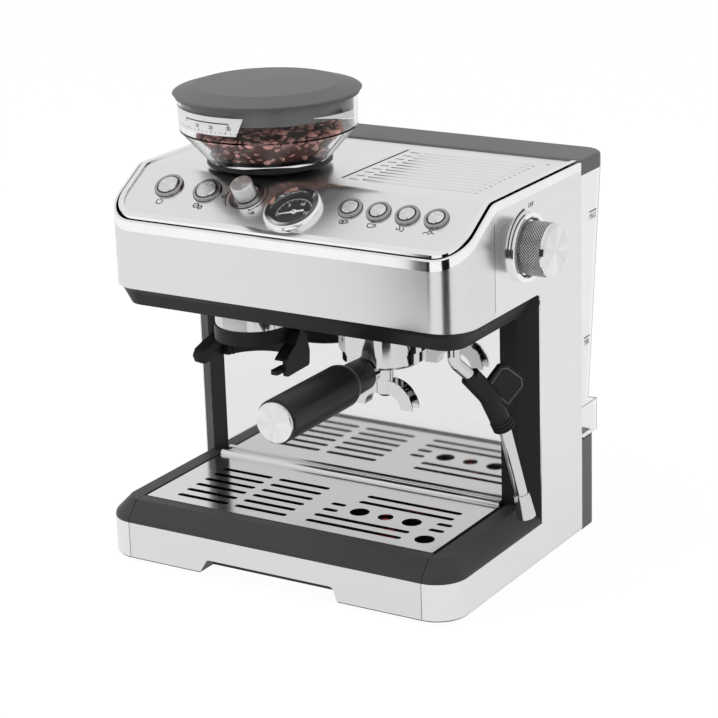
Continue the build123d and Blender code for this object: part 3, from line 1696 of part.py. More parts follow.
tank_bottom = dock_top + part_gap
inner_half = tank_half - tank_wall
hinge_y = tank_lid_rear - lid_hinge_drop
hinge_z = tank_top - lid_hinge_drop
ear_radius = 2.8
ear_width = 4.0
ear_x = tank_half - 30
with BuildPart() as water_tank:
    with BuildSketch(Plane.YZ.offset(-tank_half)):
        with BuildLine():
            Polyline(
                (tank_front, tank_bottom),
                (tank_foot_rear, tank_bottom),
                (tank_foot_rear, tank_foot_top),
                (tank_waist_rear, tank_waist_z),
                (tank_top_rear, tank_top),
                (tank_front, tank_top),
                close=True,
            )
        make_face()
    extrude(amount=2 * tank_half)
    with BuildSketch(Plane.YZ.offset(-inner_half)):
        with BuildLine():
            Polyline(
                (tank_front + tank_wall, tank_bottom + tank_wall),
                (tank_foot_rear - tank_wall, tank_bottom + tank_wall),
                (tank_foot_rear - tank_wall, tank_foot_top - tank_wall),
                (tank_waist_rear - tank_wall, tank_waist_z - tank_wall),
                (tank_top_rear - tank_wall, tank_top + 1),
                (tank_front + tank_wall, tank_top + 1),
                close=True,
            )
        make_face()
    extrude(amount=2 * inner_half, mode=Mode.SUBTRACT)
    with Locations((0, valve_y, tank_bottom + tank_wall)):
        Hole(valve_radius + running_gap, 2 * tank_wall)
    # Ears that hold the lid's pins
    for side in (-1, 1):
        with BuildSketch(Plane.YZ.offset(side * ear_x - ear_width / 2)):
            with Locations((hinge_y, hinge_z)):
                Circle(ear_radius)
            with Locations(((hinge_y + tank_top_rear - tank_wall / 2) / 2, hinge_z)):
                Rectangle(hinge_y - tank_top_rear + tank_wall / 2, 2 * ear_radius)
        extrude(amount=ear_width)
        with BuildSketch(Plane.YZ.offset(side * ear_x - ear_width)):
            with Locations((hinge_y, hinge_z)):
                Circle(lid_hinge_radius + running_gap)
        extrude(amount=2 * ear_width, mode=Mode.SUBTRACT)
finish(water_tank.part, "water_tank")

with BuildPart() as tank_valve:
    revolve(
        outline(
            upright(0, valve_y),
            (0, dock_top - socket_depth + wall + 1),
            (valve_radius, dock_top - socket_depth + wall + 1),
            (valve_radius, tank_bottom + tank_wall),
            (valve_radius + 2, tank_bottom + tank_wall),
            (valve_radius + 2, tank_bottom + tank_wall + 3),
            (0, tank_bottom + tank_wall + 3),
        ),
        vertical_axis(0, valve_y),
    )
finish(tank_valve.part, "tank_valve")

with BuildPart() as tank_lid:
    with BuildSketch(Plane.XY.offset(tank_top + part_gap)) as lid_plan:
        with Locations((0, (tank_front + 0.5 + tank_lid_rear) / 2)):
            Rectangle(case_width, tank_lid_rear - tank_front - 0.5)
        fillet(lid_plan.vertices().group_by(Axis.Y)[-1], tank_lid_corner)
    extrude(amount=tank_lid_height)
    fillet(tank_lid.faces().sort_by(Axis.Z)[-1].edges(), tank_lid_round)
    # Lugs with the pins that turn in the tank's ears
    for side in (-1, 1):
        with BuildSketch(Plane.YZ.offset(side * (ear_x - ear_width - part_gap) - ear_width / 2)):
            with Locations((hinge_y, hinge_z)):
                Circle(ear_radius)
            with Locations((hinge_y, (hinge_z + tank_top + part_gap) / 2)):
                Rectangle(2 * ear_radius, tank_top + part_gap - hinge_z)
        extrude(amount=ear_width)
        with BuildSketch(Plane.YZ.offset(side * (ear_x - ear_width - part_gap) - ear_width / 2)):
            with Locations((hinge_y, hinge_z)):
                Circle(lid_hinge_radius)
        extrude(amount=ear_width + (ear_width + part_gap if side > 0 else 0))
        if side < 0:
            with BuildSketch(Plane.YZ.offset(-ear_x - ear_width / 2)):
                with Locations((hinge_y, hinge_z)):
                    Circle(lid_hinge_radius)
            extrude(amount=ear_width + part_gap)
finish(tank_lid.part, "tank_lid")
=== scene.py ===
# %% [markdown]
# # Dressing an espresso machine
# The shapes come in from the CAD model as finished meshes, each in its place.
# What is left to do in Blender is the camera, the light, the finishes and the
# small pieces that CAD leaves plain: coffee beans, printed scales, knurling.
# Everything is in metres, the machine stands on z = 0 and its front faces -Y.

# %% Load the CAD model
import random
import bpy
from math import cos, pi, radians, sin, sqrt, tan
from mathutils import Matrix, Vector


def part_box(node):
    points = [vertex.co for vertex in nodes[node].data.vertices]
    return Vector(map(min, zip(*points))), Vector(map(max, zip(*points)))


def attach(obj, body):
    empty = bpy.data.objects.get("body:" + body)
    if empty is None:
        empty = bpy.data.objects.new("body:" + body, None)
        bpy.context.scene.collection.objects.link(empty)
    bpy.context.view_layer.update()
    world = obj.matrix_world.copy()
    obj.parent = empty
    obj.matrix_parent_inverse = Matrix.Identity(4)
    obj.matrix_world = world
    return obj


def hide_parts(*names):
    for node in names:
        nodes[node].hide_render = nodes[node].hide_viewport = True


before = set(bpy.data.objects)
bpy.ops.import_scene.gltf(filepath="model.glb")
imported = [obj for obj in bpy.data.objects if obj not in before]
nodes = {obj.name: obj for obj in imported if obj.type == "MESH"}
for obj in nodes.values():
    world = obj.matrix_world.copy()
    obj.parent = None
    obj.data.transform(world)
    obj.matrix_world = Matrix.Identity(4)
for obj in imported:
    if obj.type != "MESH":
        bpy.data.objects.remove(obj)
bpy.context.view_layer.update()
MM = 0.001

# %% [markdown]
# ## Camera
# A long lens from two metres away keeps the upright edges nearly parallel, as
# in a catalogue picture. The camera looks from the right-hand front and from
# slightly above, and leans by under two degrees, so its matrix is built from
# the two angles and that roll rather than with a Track To constraint.

# %% Camera
AZIMUTH, ELEVATION, ROLL = radians(31.867), radians(18.080), radians(-1.853)
AIM = Vector((-0.2, 17.25, 151.28)) * MM
DISTANCE = 1.99866
LENS, SENSOR = 122.84, 36.0
back = Vector((sin(AZIMUTH) * cos(ELEVATION), -cos(AZIMUTH) * cos(ELEVATION), sin(ELEVATION)))
level = Vector((cos(AZIMUTH), sin(AZIMUTH), 0.0))
rise = back.cross(level)
right = level * cos(ROLL) + rise * sin(ROLL)
up = rise * cos(ROLL) - level * sin(ROLL)
turn = Matrix((right, up, back)).transposed()
bpy.ops.object.camera_add()
camera = bpy.context.object
camera.name = "catalogue_camera"
camera.matrix_world = Matrix.Translation(AIM + back * DISTANCE) @ turn.to_4x4()
camera.data.lens = LENS
camera.data.sensor_width = SENSOR
bpy.context.scene.camera = camera
print("camera at", [round(v, 3) for v in camera.location])

# %% [markdown]
# ## Node helpers
# Node trees are written by hand below, so three short functions take up what
# repeats: one makes a node with its settings, one links sockets, and one opens
# an empty group.

# %% Node helpers
def chain(tree, kind, values=None, **settings):
    """A node with its settings and the values of its open inputs."""
    node = tree.nodes.new(kind)
    for key, value in settings.items():
        setattr(node, key, value)
    for socket, value in (values or {}).items():
        node.inputs[socket].default_value = value
    return node


def wire(tree, *pairs):
    """Link sockets, each pair given as its source and its target."""
    for source, target in pairs:
        tree.links.new(source, target)


def new_group(name, inputs, outputs):
    """An empty shader group with named float, vector or colour sockets."""
    group = bpy.data.node_groups.new(name, "ShaderNodeTree")
    for label, kind, value in inputs:
        socket = group.interface.new_socket(label, in_out="INPUT", socket_type="NodeSocket" + kind)
        if value is not None:
            socket.default_value = value
    for label, kind in outputs:
        group.interface.new_socket(label, in_out="OUTPUT", socket_type="NodeSocket" + kind)
    start = group.nodes.new("NodeGroupInput")
    end = group.nodes.new("NodeGroupOutput")
    return group, start, end


print("helpers for nodes ready")

# %% [markdown]
# ## Studio
# Steel looks like whatever stands around it, so the room matters more here
# than the lamps. The world is white where it is seen, a little dimmer where it
# is mirrored, and softer for the rays that only light, which keeps pale metal
# from washing out. Three large soft lamps, which no mirror shows, give the
# forms a direction.

# %% World
ROOM_LIGHT, ROOM_MIRRORED = 0.62, 0.8
world = bpy.data.worlds.new("white_room")
bpy.context.scene.world = world
world.use_nodes = True
room = world.node_tree
room.nodes.clear()
room_out = chain(room, "ShaderNodeOutputWorld")
room_light = chain(room, "ShaderNodeBackground", {"Strength": ROOM_LIGHT})
room_seen = chain(room, "ShaderNodeBackground", {"Color": (1, 1, 1, 1)})
room_mix = chain(room, "ShaderNodeMixShader")
room_path = chain(room, "ShaderNodeLightPath")
room_any = chain(room, "ShaderNodeMath", operation="ADD")
room_all = chain(room, "ShaderNodeMath", operation="ADD", use_clamp=True)
room_dim = chain(room, "ShaderNodeMath", {1: ROOM_MIRRORED - 1.0, 2: 1.0}, operation="MULTIPLY_ADD")
wire(
    room,
    (room_path.outputs["Is Glossy Ray"], room_dim.inputs[0]),
    (room_dim.outputs[0], room_seen.inputs["Strength"]),
    (room_path.outputs["Is Camera Ray"], room_any.inputs[0]),
    (room_path.outputs["Is Glossy Ray"], room_any.inputs[1]),
    (room_any.outputs[0], room_all.inputs[0]),
    (room_path.outputs["Is Transmission Ray"], room_all.inputs[1]),
    (room_all.outputs[0], room_mix.inputs[0]),
    (room_light.outputs[0], room_mix.inputs[1]),
    (room_seen.outputs[0], room_mix.inputs[2]),
    (room_mix.outputs[0], room_out.inputs["Surface"]),
)
bpy.context.scene.view_settings.view_transform = "Standard"
print("world lights at", ROOM_LIGHT)

# %% [markdown]
# The floor glows by itself for the rays that see it, so that it and the world
# meet without a horizon. In mirrors it glows less, as paper on a table would.

# %% Floor
FLOOR_SIZE, FLOOR_GLOW = 30.0, 1.03
GLOW_SEEN, GLOW_MIRRORED = 0.94, 0.70
bpy.ops.mesh.primitive_plane_add(size=FLOOR_SIZE, location=(0, 0, 0))
floor = bpy.context.object
floor.name = "pale_floor"
floor_finish = bpy.data.materials.new("pale_floor")
floor_finish.use_nodes = True
ft = floor_finish.node_tree
ft.nodes.clear()
ft_out = chain(ft, "ShaderNodeOutputMaterial")
ft_paint = chain(ft, "ShaderNodeBsdfDiffuse", {"Color": (0.86, 0.86, 0.86, 1)})
ft_glow = chain(ft, "ShaderNodeEmission", {"Strength": FLOOR_GLOW})
ft_mix = chain(ft, "ShaderNodeMixShader")
ft_path = chain(ft, "ShaderNodeLightPath")
ft_seen = chain(ft, "ShaderNodeMath", {1: GLOW_SEEN}, operation="MULTIPLY_ADD")
ft_mirror = chain(ft, "ShaderNodeMath", {1: GLOW_MIRRORED}, operation="MULTIPLY")
ft_both = chain(ft, "ShaderNodeMath", operation="MAXIMUM")
wire(
    ft,
    (ft_path.outputs["Is Glossy Ray"], ft_both.inputs[0]),
    (ft_path.outputs["Is Transmission Ray"], ft_both.inputs[1]),
    (ft_both.outputs[0], ft_mirror.inputs[0]),
    (ft_path.outputs["Is Camera Ray"], ft_seen.inputs[0]),
    (ft_mirror.outputs[0], ft_seen.inputs[2]),
    (ft_seen.outputs[0], ft_mix.inputs[0]),
    (ft_paint.outputs[0], ft_mix.inputs[1]),
    (ft_glow.outputs[0], ft_mix.inputs[2]),
    (ft_mix.outputs[0], ft_out.inputs["Surface"]),
)
floor.data.materials.append(floor_finish)
print("floor", floor.dimensions.x, "m wide")

# %% Lamps
def soft_lamp(name, place, aim, size, power):
    """A large square lamp at a place, turned to face a point."""
    bpy.ops.object.light_add(type="AREA", location=place)
    lamp = bpy.context.object
    lamp.name = name
    lamp.rotation_euler = (Vector(aim) - Vector(place)).to_track_quat("-Z", "Y").to_euler()
    lamp.data.size = size
    lamp.data.energy = power
    lamp.visible_glossy = False
    return lamp


soft_lamp("overhead_lamp", (-0.5, -0.4, 2.1), (0, 0, 0.15), 1.6, 16.0)
soft_lamp("left_lamp", (-1.7, -1.5, 1.3), (0, 0, 0.2), 1.2, 9.0)
soft_lamp("right_lamp", (2.0, -0.4, 1.0), (0, 0, 0.2), 1.0, 5.0)

# %% [markdown]
# Polished metal in an all-white room looks like plaster. Three black cards
# stand in front of the machine, seen by mirror rays only: they draw the dark
# bands down its round corners and over the chrome, and light nothing.

# %% Black cards
card_black = bpy.data.materials.new("card_black")
card_black.use_nodes = True
card_shader = card_black.node_tree.nodes["Principled BSDF"]
card_shader.inputs["Base Color"].default_value = (0.01, 0.01, 0.01, 1)
card_shader.inputs["Specular IOR Level"].default_value = 0.0


def black_card(name, place, wide, high, facing):
    """An upright card that only mirror rays see, turned to face a bearing."""
    upright = (pi / 2, 0, radians(facing))
    bpy.ops.mesh.primitive_plane_add(size=1.0, location=place, rotation=upright)
    card = bpy.context.object
    card.name = name
    card.scale = (wide, high, 1)
    card.data.materials.append(card_black)
    for ray in ("camera", "diffuse", "shadow", "transmission", "volume_scatter"):
        setattr(card, "visible_" + ray, False)
    return card


black_card("card_corner", (0.427, -0.554, 0.15), 0.24, 0.30, 31.9)
black_card("card_front", (-0.20, -0.80, 0.16), 0.16, 0.32, -12)
black_card("card_high", (0.30, -1.10, 0.75), 0.26, 0.50, 15)
print("cards stand")

# %% [markdown]
# ## Finishes
# Brushed steel, radial brushing, moulded grain and small drifts of tone are
# used by many materials, so each one is a node group that gives masks and
# heights. The shader itself stays in every material.

# %% Brushed lines
brushed, b_in, b_out = new_group(
    "brushed_lines",
    [("Vector", "Vector", None), ("Stretch", "Vector", (12.0, 1500.0, 1500.0))],
    [("Height", "Float"), ("Shade", "Float")],
)
b_scale = chain(brushed, "ShaderNodeVectorMath", operation="MULTIPLY")
b_fine = chain(brushed, "ShaderNodeTexNoise", {"Scale": 1.0, "Detail": 3.0})
b_wide = chain(brushed, "ShaderNodeTexNoise", {"Scale": 0.13, "Detail": 2.0})
b_add = chain(brushed, "ShaderNodeMath", {1: 0.5}, operation="MULTIPLY_ADD")
b_half = chain(brushed, "ShaderNodeMath", {1: 0.5}, operation="MULTIPLY")
wire(
    brushed,
    (b_in.outputs["Vector"], b_scale.inputs[0]),
    (b_in.outputs["Stretch"], b_scale.inputs[1]),
    (b_scale.outputs[0], b_fine.inputs["Vector"]),
    (b_scale.outputs[0], b_wide.inputs["Vector"]),
    (b_wide.outputs["Fac"], b_half.inputs[0]),
    (b_fine.outputs["Fac"], b_add.inputs[0]),
    (b_half.outputs[0], b_add.inputs[2]),
    (b_fine.outputs["Fac"], b_out.inputs["Height"]),
    (b_add.outputs[0], b_out.inputs["Shade"]),
)
print(brushed.name, "ready")

# %% Radial brushing
radial, r_in, r_out = new_group(
    "radial_brushing",
    [("Vector", "Vector", None), ("Fineness", "Float", 30.0)],
    [("Height", "Float"), ("Shade", "Float")],
)
r_flat = chain(radial, "ShaderNodeVectorMath", {1: (1, 1, 0)}, operation="MULTIPLY")
r_unit = chain(radial, "ShaderNodeVectorMath", operation="NORMALIZE")
r_fan = chain(radial, "ShaderNodeVectorMath", operation="SCALE")
r_fine = chain(radial, "ShaderNodeTexNoise", {"Scale": 1.0, "Detail": 4.0})
# A broad change of tone round the centre, given out as the shade: a painted sheen of light and dark sectors.
r_painted_sheen = chain(radial, "ShaderNodeTexNoise", {"Scale": 1.6, "Detail": 1.0})
wire(
    radial,
    (r_in.outputs["Vector"], r_flat.inputs[0]),
    (r_flat.outputs[0], r_unit.inputs[0]),
    (r_unit.outputs[0], r_fan.inputs[0]),
    (r_in.outputs["Fineness"], r_fan.inputs["Scale"]),
    (r_fan.outputs[0], r_fine.inputs["Vector"]),
    (r_unit.outputs[0], r_painted_sheen.inputs["Vector"]),
    (r_fine.outputs["Fac"], r_out.inputs["Height"]),
    (r_painted_sheen.outputs["Fac"], r_out.inputs["Shade"]),
)
print(radial.name, "ready")

# %% Moulded grain
grain, g_in, g_out = new_group(
    "moulded_grain",
    [("Vector", "Vector", None), ("Grain", "Float", 900.0), ("Drift", "Float", 14.0)],
    [("Height", "Float"), ("Shade", "Float")],
)
g_fine = chain(grain, "ShaderNodeTexVoronoi", feature="SMOOTH_F1")
g_wide = chain(grain, "ShaderNodeTexNoise", {"Detail": 3.0})
wire(
    grain,
    (g_in.outputs["Vector"], g_fine.inputs["Vector"]),
    (g_in.outputs["Grain"], g_fine.inputs["Scale"]),
    (g_in.outputs["Vector"], g_wide.inputs["Vector"]),
    (g_in.outputs["Drift"], g_wide.inputs["Scale"]),
    (g_fine.outputs["Distance"], g_out.inputs["Height"]),
    (g_wide.outputs["Fac"], g_out.inputs["Shade"]),
)
print(grain.name, "ready")

# %% [markdown]
# A finish is made by one function: it places the Principled shader, reads
# Object coordinates, lets a group vary colour and roughness around their
# middle values, and turns the group's height into a bump. A Mapping node
# moves the pattern to the piece's own centre where the brushing is radial.

# %% The finish maker
def grey(value, warm=0.0):
    """A neutral linear colour, a touch warmer or cooler when asked."""
    return (value * (1 + warm), value, value * (1 - warm), 1.0)


def dress(name, colour, metal=0.0, rough=0.4, group=grain, values=None, depth=0.02,
          distance=0.00005, tone=0.1, rough_spread=0.1, centre=None, tilt=None, **extra):
    """A material whose tone, roughness and bump come from one of the groups."""
    material = bpy.data.materials.new(name)
    material.use_nodes = True
    tree = material.node_tree
    shader = tree.nodes["Principled BSDF"]
    shader.inputs["Metallic"].default_value = metal
    for socket, value in extra.items():
        shader.inputs[socket.replace("_", " ")].default_value = value
    source = chain(tree, "ShaderNodeTexCoord").outputs["Object"]
    if centre is not None:
        mapping = chain(tree, "ShaderNodeMapping", vector_type="TEXTURE")
        mapping.inputs["Location"].default_value = centre
        mapping.inputs["Rotation"].default_value = tilt or (0, 0, 0)
        wire(tree, (source, mapping.inputs["Vector"]))
        source = mapping.outputs["Vector"]
    effect = tree.nodes.new("ShaderNodeGroup")
    effect.node_tree = group
    for socket, value in (values or {}).items():
        effect.inputs[socket].default_value = value
    middle = {"From Min": 0.3, "From Max": 0.7}
    shade = chain(tree, "ShaderNodeMapRange", {**middle, "To Min": 1 - tone, "To Max": 1 + tone})
    tint = chain(tree, "ShaderNodeVectorMath", {0: colour[:3]}, operation="SCALE")
    limits = {"To Min": rough * (1 - rough_spread), "To Max": rough * (1 + rough_spread)}
    roughness = chain(tree, "ShaderNodeMapRange", {**middle, **limits})
    wire(
        tree,
        (source, effect.inputs["Vector"]),
        (effect.outputs["Shade"], shade.inputs["Value"]),
        (shade.outputs["Result"], tint.inputs["Scale"]),
        (tint.outputs["Vector"], shader.inputs["Base Color"]),
        (effect.outputs["Shade"], roughness.inputs["Value"]),
        (roughness.outputs["Result"], shader.inputs["Roughness"]),
    )
    if depth:
        bump = chain(tree, "ShaderNodeBump", {"Strength": depth, "Distance": distance})
        wire(tree, (effect.outputs["Height"], bump.inputs["Height"]))
        wire(tree, (bump.outputs["Normal"], shader.inputs["Normal"]))
    return material


def wear(material, *names):
    """Put a material in every slot of some CAD nodes."""
    for name in names:
        node = nodes[name]
        if not node.material_slots:
            node.data.materials.append(material)
        for slot in node.material_slots:
            slot.material = material


# %% [markdown]
# ### Sheet steel
# The case is folded from sheet that was brushed in one direction. Noise that is stretched along that
# direction gives both the bump and a faint change of tone. The front runs along X and the sides along Y.
# Front, sides and deck are the same steel, given different greys as painted light and shade: the deck
# lightest, the front darkest.

# %% Sheet steel
ALONG_X = {"Stretch": (10.0, 1400.0, 1400.0)}
ALONG_Y = {"Stretch": (1400.0, 10.0, 1400.0)}


def brushed_steel(name, shade, rough, lines, depth, tone, rough_spread):
    """Steel sheet brushed along one direction."""
    return dress(name, grey(shade), 1.0, rough, brushed, lines, depth, 0.00002, tone, rough_spread)


# The greys of front, sides and deck are painted light and shade on one steel.
front_steel = brushed_steel("brushed_steel_front", 0.76, 0.20, ALONG_X, 0.04, 0.02, 0.06)
side_steel = brushed_steel("brushed_steel_side", 0.82, 0.20, ALONG_Y, 0.04, 0.02, 0.06)
deck_steel = brushed_steel("brushed_steel_deck", 0.89, 0.25, ALONG_X, 0.02, 0.012, 0.03)
mirror_steel = brushed_steel("splash_steel", 0.82, 0.05, ALONG_X, 0.03, 0.02, 0.2)
grid_steel = brushed_steel("stamped_grid_steel", 0.80, 0.16, ALONG_X, 0.04, 0.03, 0.2)
wear(front_steel, "front_fascia", "tray_front")
wear(side_steel, "left_side_panel", "right_side_panel")
wear(deck_steel, "top_deck")
wear(mirror_steel, "splash_back")
wear(grid_steel, "drip_grid")
print("sheet steel ready")

# %% [markdown]
# ### Everything that is cast or moulded
# These finishes share the moulded grain. What differs is how fine it is, how
# slowly the tone drifts, and how deep the bump goes.

# %% Bright trim
def grained(name, colour, rough, fineness, drift, depth, distance, tone, rough_spread, metal=0.0, **extra):
    """A finish whose only pattern is the moulded grain: its roughness, the fineness of the grain,
    the drift of its tone, the bump's depth and distance, and how far tone and roughness vary."""
    values = {"Grain": fineness, "Drift": drift}
    return dress(name, colour, metal, rough, grain, values, depth, distance, tone, rough_spread, **extra)


def cast_metal(name, shade, *settings):
    """A neutral metal with the moulded grain."""
    return grained(name, grey(shade), *settings, metal=1.0)


bright = cast_metal("polished_steel", 0.95, 0.08, 400.0, 30.0, 0.01, 0.00001, 0.03, 0.3)
ring_steel = cast_metal("ring_steel", 0.40, 0.18, 400.0, 30.0, 0.01, 0.00001, 0.05, 0.2)
chrome = cast_metal("chrome_plate", 0.66, 0.06, 300.0, 40.0, 0.01, 0.00001, 0.03, 0.3)
inner_steel = cast_metal("plain_steel", 0.55, 0.35, 500.0, 25.0, 0.03, 0.00003, 0.08, 0.2)
burr_steel = cast_metal("burr_steel", 0.42, 0.3, 700.0, 40.0, 0.05, 0.00003, 0.1, 0.2)
wear(bright, "head_mouldings", "gauge_bezel", "steam_knob_bezel")
wear(ring_steel, "button_bezels")
wear(chrome, "group_head", "grinder_outlet", "portafilter_body", "twin_spout", "wand_tube", "wand_socket")
wear(inner_steel, "boiler", "pump", "steam_valve", "chassis_frame", "filter_basket", "shower_screen",
     "case_screws")
wear(burr_steel, "cone_burr")
print("bright metal ready")

# %% Plastics and rubber
sill_black = grained("sill_plastic", grey(0.045), 0.46, 1500.0, 12.0, 0.06, 0.00003, 0.08, 0.12,
                     Specular_IOR_Level=0.35)
black = grained("black_plastic", grey(0.014), 0.42, 1500.0, 12.0, 0.06, 0.00003, 0.08, 0.12,
                Specular_IOR_Level=0.22)
smoke = grained("dark_grey_plastic", grey(0.12), 0.5, 1300.0, 10.0, 0.07, 0.00003, 0.06, 0.1)
handle_black = grained("soft_touch_black", grey(0.010), 0.38, 1800.0, 16.0, 0.08, 0.00003, 0.1, 0.12,
                       Specular_IOR_Level=0.35)
rubber = grained("grip_rubber", grey(0.012), 0.5, 1100.0, 18.0, 0.12, 0.00005, 0.12, 0.1,
                 Specular_IOR_Level=0.25)
inner_grey = grained("inner_grey_plastic", grey(0.20), 0.5, 900.0, 14.0, 0.06, 0.00003, 0.08, 0.1)
board_green = grained("board_green", (0.02, 0.13, 0.05, 1), 0.35, 600.0, 60.0, 0.05, 0.00003, 0.12, 0.15)
float_red = grained("float_red", (0.55, 0.03, 0.02, 1), 0.4, 900.0, 60.0, 0.05, 0.00003, 0.08, 0.1)
dial_black = grained("gauge_face_black", grey(0.012), 0.5, 1500.0, 60.0, 0.05, 0.00002, 0.1, 0.1)
needle_white = grained("needle_white", grey(0.80), 0.4, 1500.0, 90.0, 0.03, 0.00002, 0.03, 0.1)
wear(sill_black, "base_pan", "drip_tray")
wear(black, "splash_frame", "portafilter_cradle", "hopper_base", "cord_gland", "head_skirt")
wear(smoke, "hopper_lid", "tank_lid", "rear_housing")
wear(handle_black, "handle_grip")
wear(rubber, "wand_grip", "rubber_feet")
wear(inner_grey, "grinder_housing", "grinder_motor", "solenoid_valve", "water_hoses", "tank_valve")
wear(board_green, "control_board")
wear(float_red, "tray_float")
wear(dial_black, "gauge_dial")
wear(needle_white, "gauge_needle")
print("plastics ready")

# %% [markdown]
# ### Clear plastic
# Cycles gives glass a full shadow unless caustics are traced. Lamps shine
# through these two finishes because nearly all of each is left out for shadow
# rays.

# %% Clear plastic
SHADOW_SHARE = 0.1
clear = grained("clear_plastic", grey(0.98), 0.02, 60.0, 20.0, 0.0, 0.0001, 0.01, 0.3,
                Transmission_Weight=1.0, IOR=1.22)
tank_clear = grained("tank_plastic", grey(0.95), 0.05, 60.0, 12.0, 0.0, 0.0001, 0.015, 0.3,
                     Transmission_Weight=1.0, IOR=1.12)
wear(clear, "hopper_bowl", "gauge_glass")
wear(tank_clear, "water_tank")
for plastic in (clear, tank_clear):
    tree = plastic.node_tree
    light_path = chain(tree, "ShaderNodeLightPath")
    part_left = chain(tree, "ShaderNodeMath", {1: SHADOW_SHARE - 1.0, 2: 1.0}, operation="MULTIPLY_ADD")
    wire(tree, (light_path.outputs["Is Shadow Ray"], part_left.inputs[0]))
    wire(tree, (part_left.outputs[0], tree.nodes["Principled BSDF"].inputs["Alpha"]))
print("clear plastic ready")

# %% [markdown]
# ### Turned aluminium
# Button faces, the dose dial, the steam knob's cap and the cap of the handle are turned on a lathe, which
# leaves lines that fan out from the middle. Their colour also changes in broad sectors round the middle, a
# painted sheen for the light and dark a turned face shows. Each piece needs the pattern's centre on its own
# axis, so it gets its own copy of the finish.

# %% Panel geometry
SLOPE = radians(31.0)
DECK_TOP, PANEL_DEPTH = 0.314, 0.055
fascia_low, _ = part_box("front_fascia")
HEAD_FRONT = fascia_low.y
PANEL_FOOT = DECK_TOP - PANEL_DEPTH * tan(SLOPE)
panel_normal = Vector((0, -sin(SLOPE), cos(SLOPE)))
panel_up = Vector((0, cos(SLOPE), sin(SLOPE)))


def on_panel(x, along, lift=0.0):
    """A point of the sloping panel: across, up the slope and off its face."""
    return Vector((x, HEAD_FRONT, PANEL_FOOT)) + panel_up * along + panel_normal * lift


def panel_matrix(x, along, lift=0.0):
    """Carries flat artwork, drawn in x and y, onto the panel."""
    axes = Matrix((Vector((1, 0, 0)), panel_up, panel_normal)).transposed().to_4x4()
    return Matrix.Translation(on_panel(x, along, lift)) @ axes


print("panel foot at", round(PANEL_FOOT, 4))

# %% Buttons
CONTROL_UP = 0.0426
BUTTONS = {
    "power_button": -0.120,
    "grind_button": -0.0832,
    "single_shot_button": 0.0486,
    "double_shot_button": 0.07367,
    "hot_water_button": 0.09874,
    "steam_button": 0.12381,
}
DIAL_X = -0.0464
ON_SLOPE = (SLOPE, 0, 0)


def lathe_face(name, shade, rough, fineness, depth, tone, centre, tilt):
    """Turned aluminium, its lines fanning out from a centre about a tilted axis."""
    return dress(name, grey(shade), 1.0, rough, radial, {"Fineness": fineness}, depth, 0.0001, tone, 0.2,
                 centre=centre, tilt=tilt)


for name, x in BUTTONS.items():
    wear(lathe_face("turned_" + name, 0.80, 0.28, 22.0, 0.25, 0.10, on_panel(x, CONTROL_UP), ON_SLOPE), name)
dial_face = lathe_face("turned_dial", 0.90, 0.45, 22.0, 0.25, 0.10, on_panel(DIAL_X, CONTROL_UP), ON_SLOPE)
wear(dial_face, "dose_dial")
knob_low, knob_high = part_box("steam_knob")
KNOB_Y, KNOB_Z = (knob_low.y + knob_high.y) / 2, (knob_low.z + knob_high.z) / 2
knob_face = lathe_face("turned_knob", 0.82, 0.28, 26.0, 0.3, 0.12, (0.18, KNOB_Y, KNOB_Z), (0, pi / 2, 0))
wear(knob_face, "steam_knob")
cap_low, cap_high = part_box("handle_cap")
CAP_X, CAP_Z = (cap_low.x + cap_high.x) / 2, (cap_low.z + cap_high.z) / 2
cap_face = lathe_face("turned_handle_cap", 0.86, 0.25, 24.0, 0.25, 0.10, (CAP_X, cap_low.y, CAP_Z),
                      (pi / 2, 0, 0))
wear(cap_face, "handle_cap")
print(len(BUTTONS), "buttons faced")

# %% [markdown]
# ## Small pieces
# The rest is what CAD left plain. Printed marks are drawn flat as text or as
# lines, made into meshes, and then laid on their surface by one matrix. Marks
# on the round bowl are bent round its axis instead.

# %% Modelling helpers
def begin():
    """Nothing selected, so that an operator acts on the new piece alone."""
    bpy.ops.object.select_all(action="DESELECT")


def keep(piece, name, material, body):
    """Name a finished piece, give it its finish, and let it ride on a body."""
    piece.name = name
    piece.data.materials.clear()
    piece.data.materials.append(material)
    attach(piece, body)
    return piece


def lettering(words, size, thick=0.0001):
    """Flat raised text in the XY plane, as a mesh round its own middle."""
    begin()
    bpy.ops.object.text_add(location=(0, 0, 0))
    text = bpy.context.object
    text.data.body = words
    text.data.size = size
    text.data.align_x = "CENTER"
    text.data.align_y = "CENTER"
    text.data.extrude = thick / 2
    text.data.resolution_u = 4
    bpy.ops.object.convert(target="MESH")
    return bpy.context.object


def polar(radius, angle):
    """A point at a radius and an angle in degrees."""
    return (radius * cos(radians(angle)), radius * sin(radians(angle)))


def arc(x, y, radius, start, end, steps=24):
    """Points along an arc, angles in degrees."""
    angles = [radians(start + (end - start) * i / steps) for i in range(steps + 1)]
    return [(x + radius * cos(a), y + radius * sin(a)) for a in angles]


def moved(lines, dx, dy, scale=1.0):
    """Lines shifted, and scaled where asked."""
    return [[(x * scale + dx, y * scale + dy) for x, y in points] for points in lines]


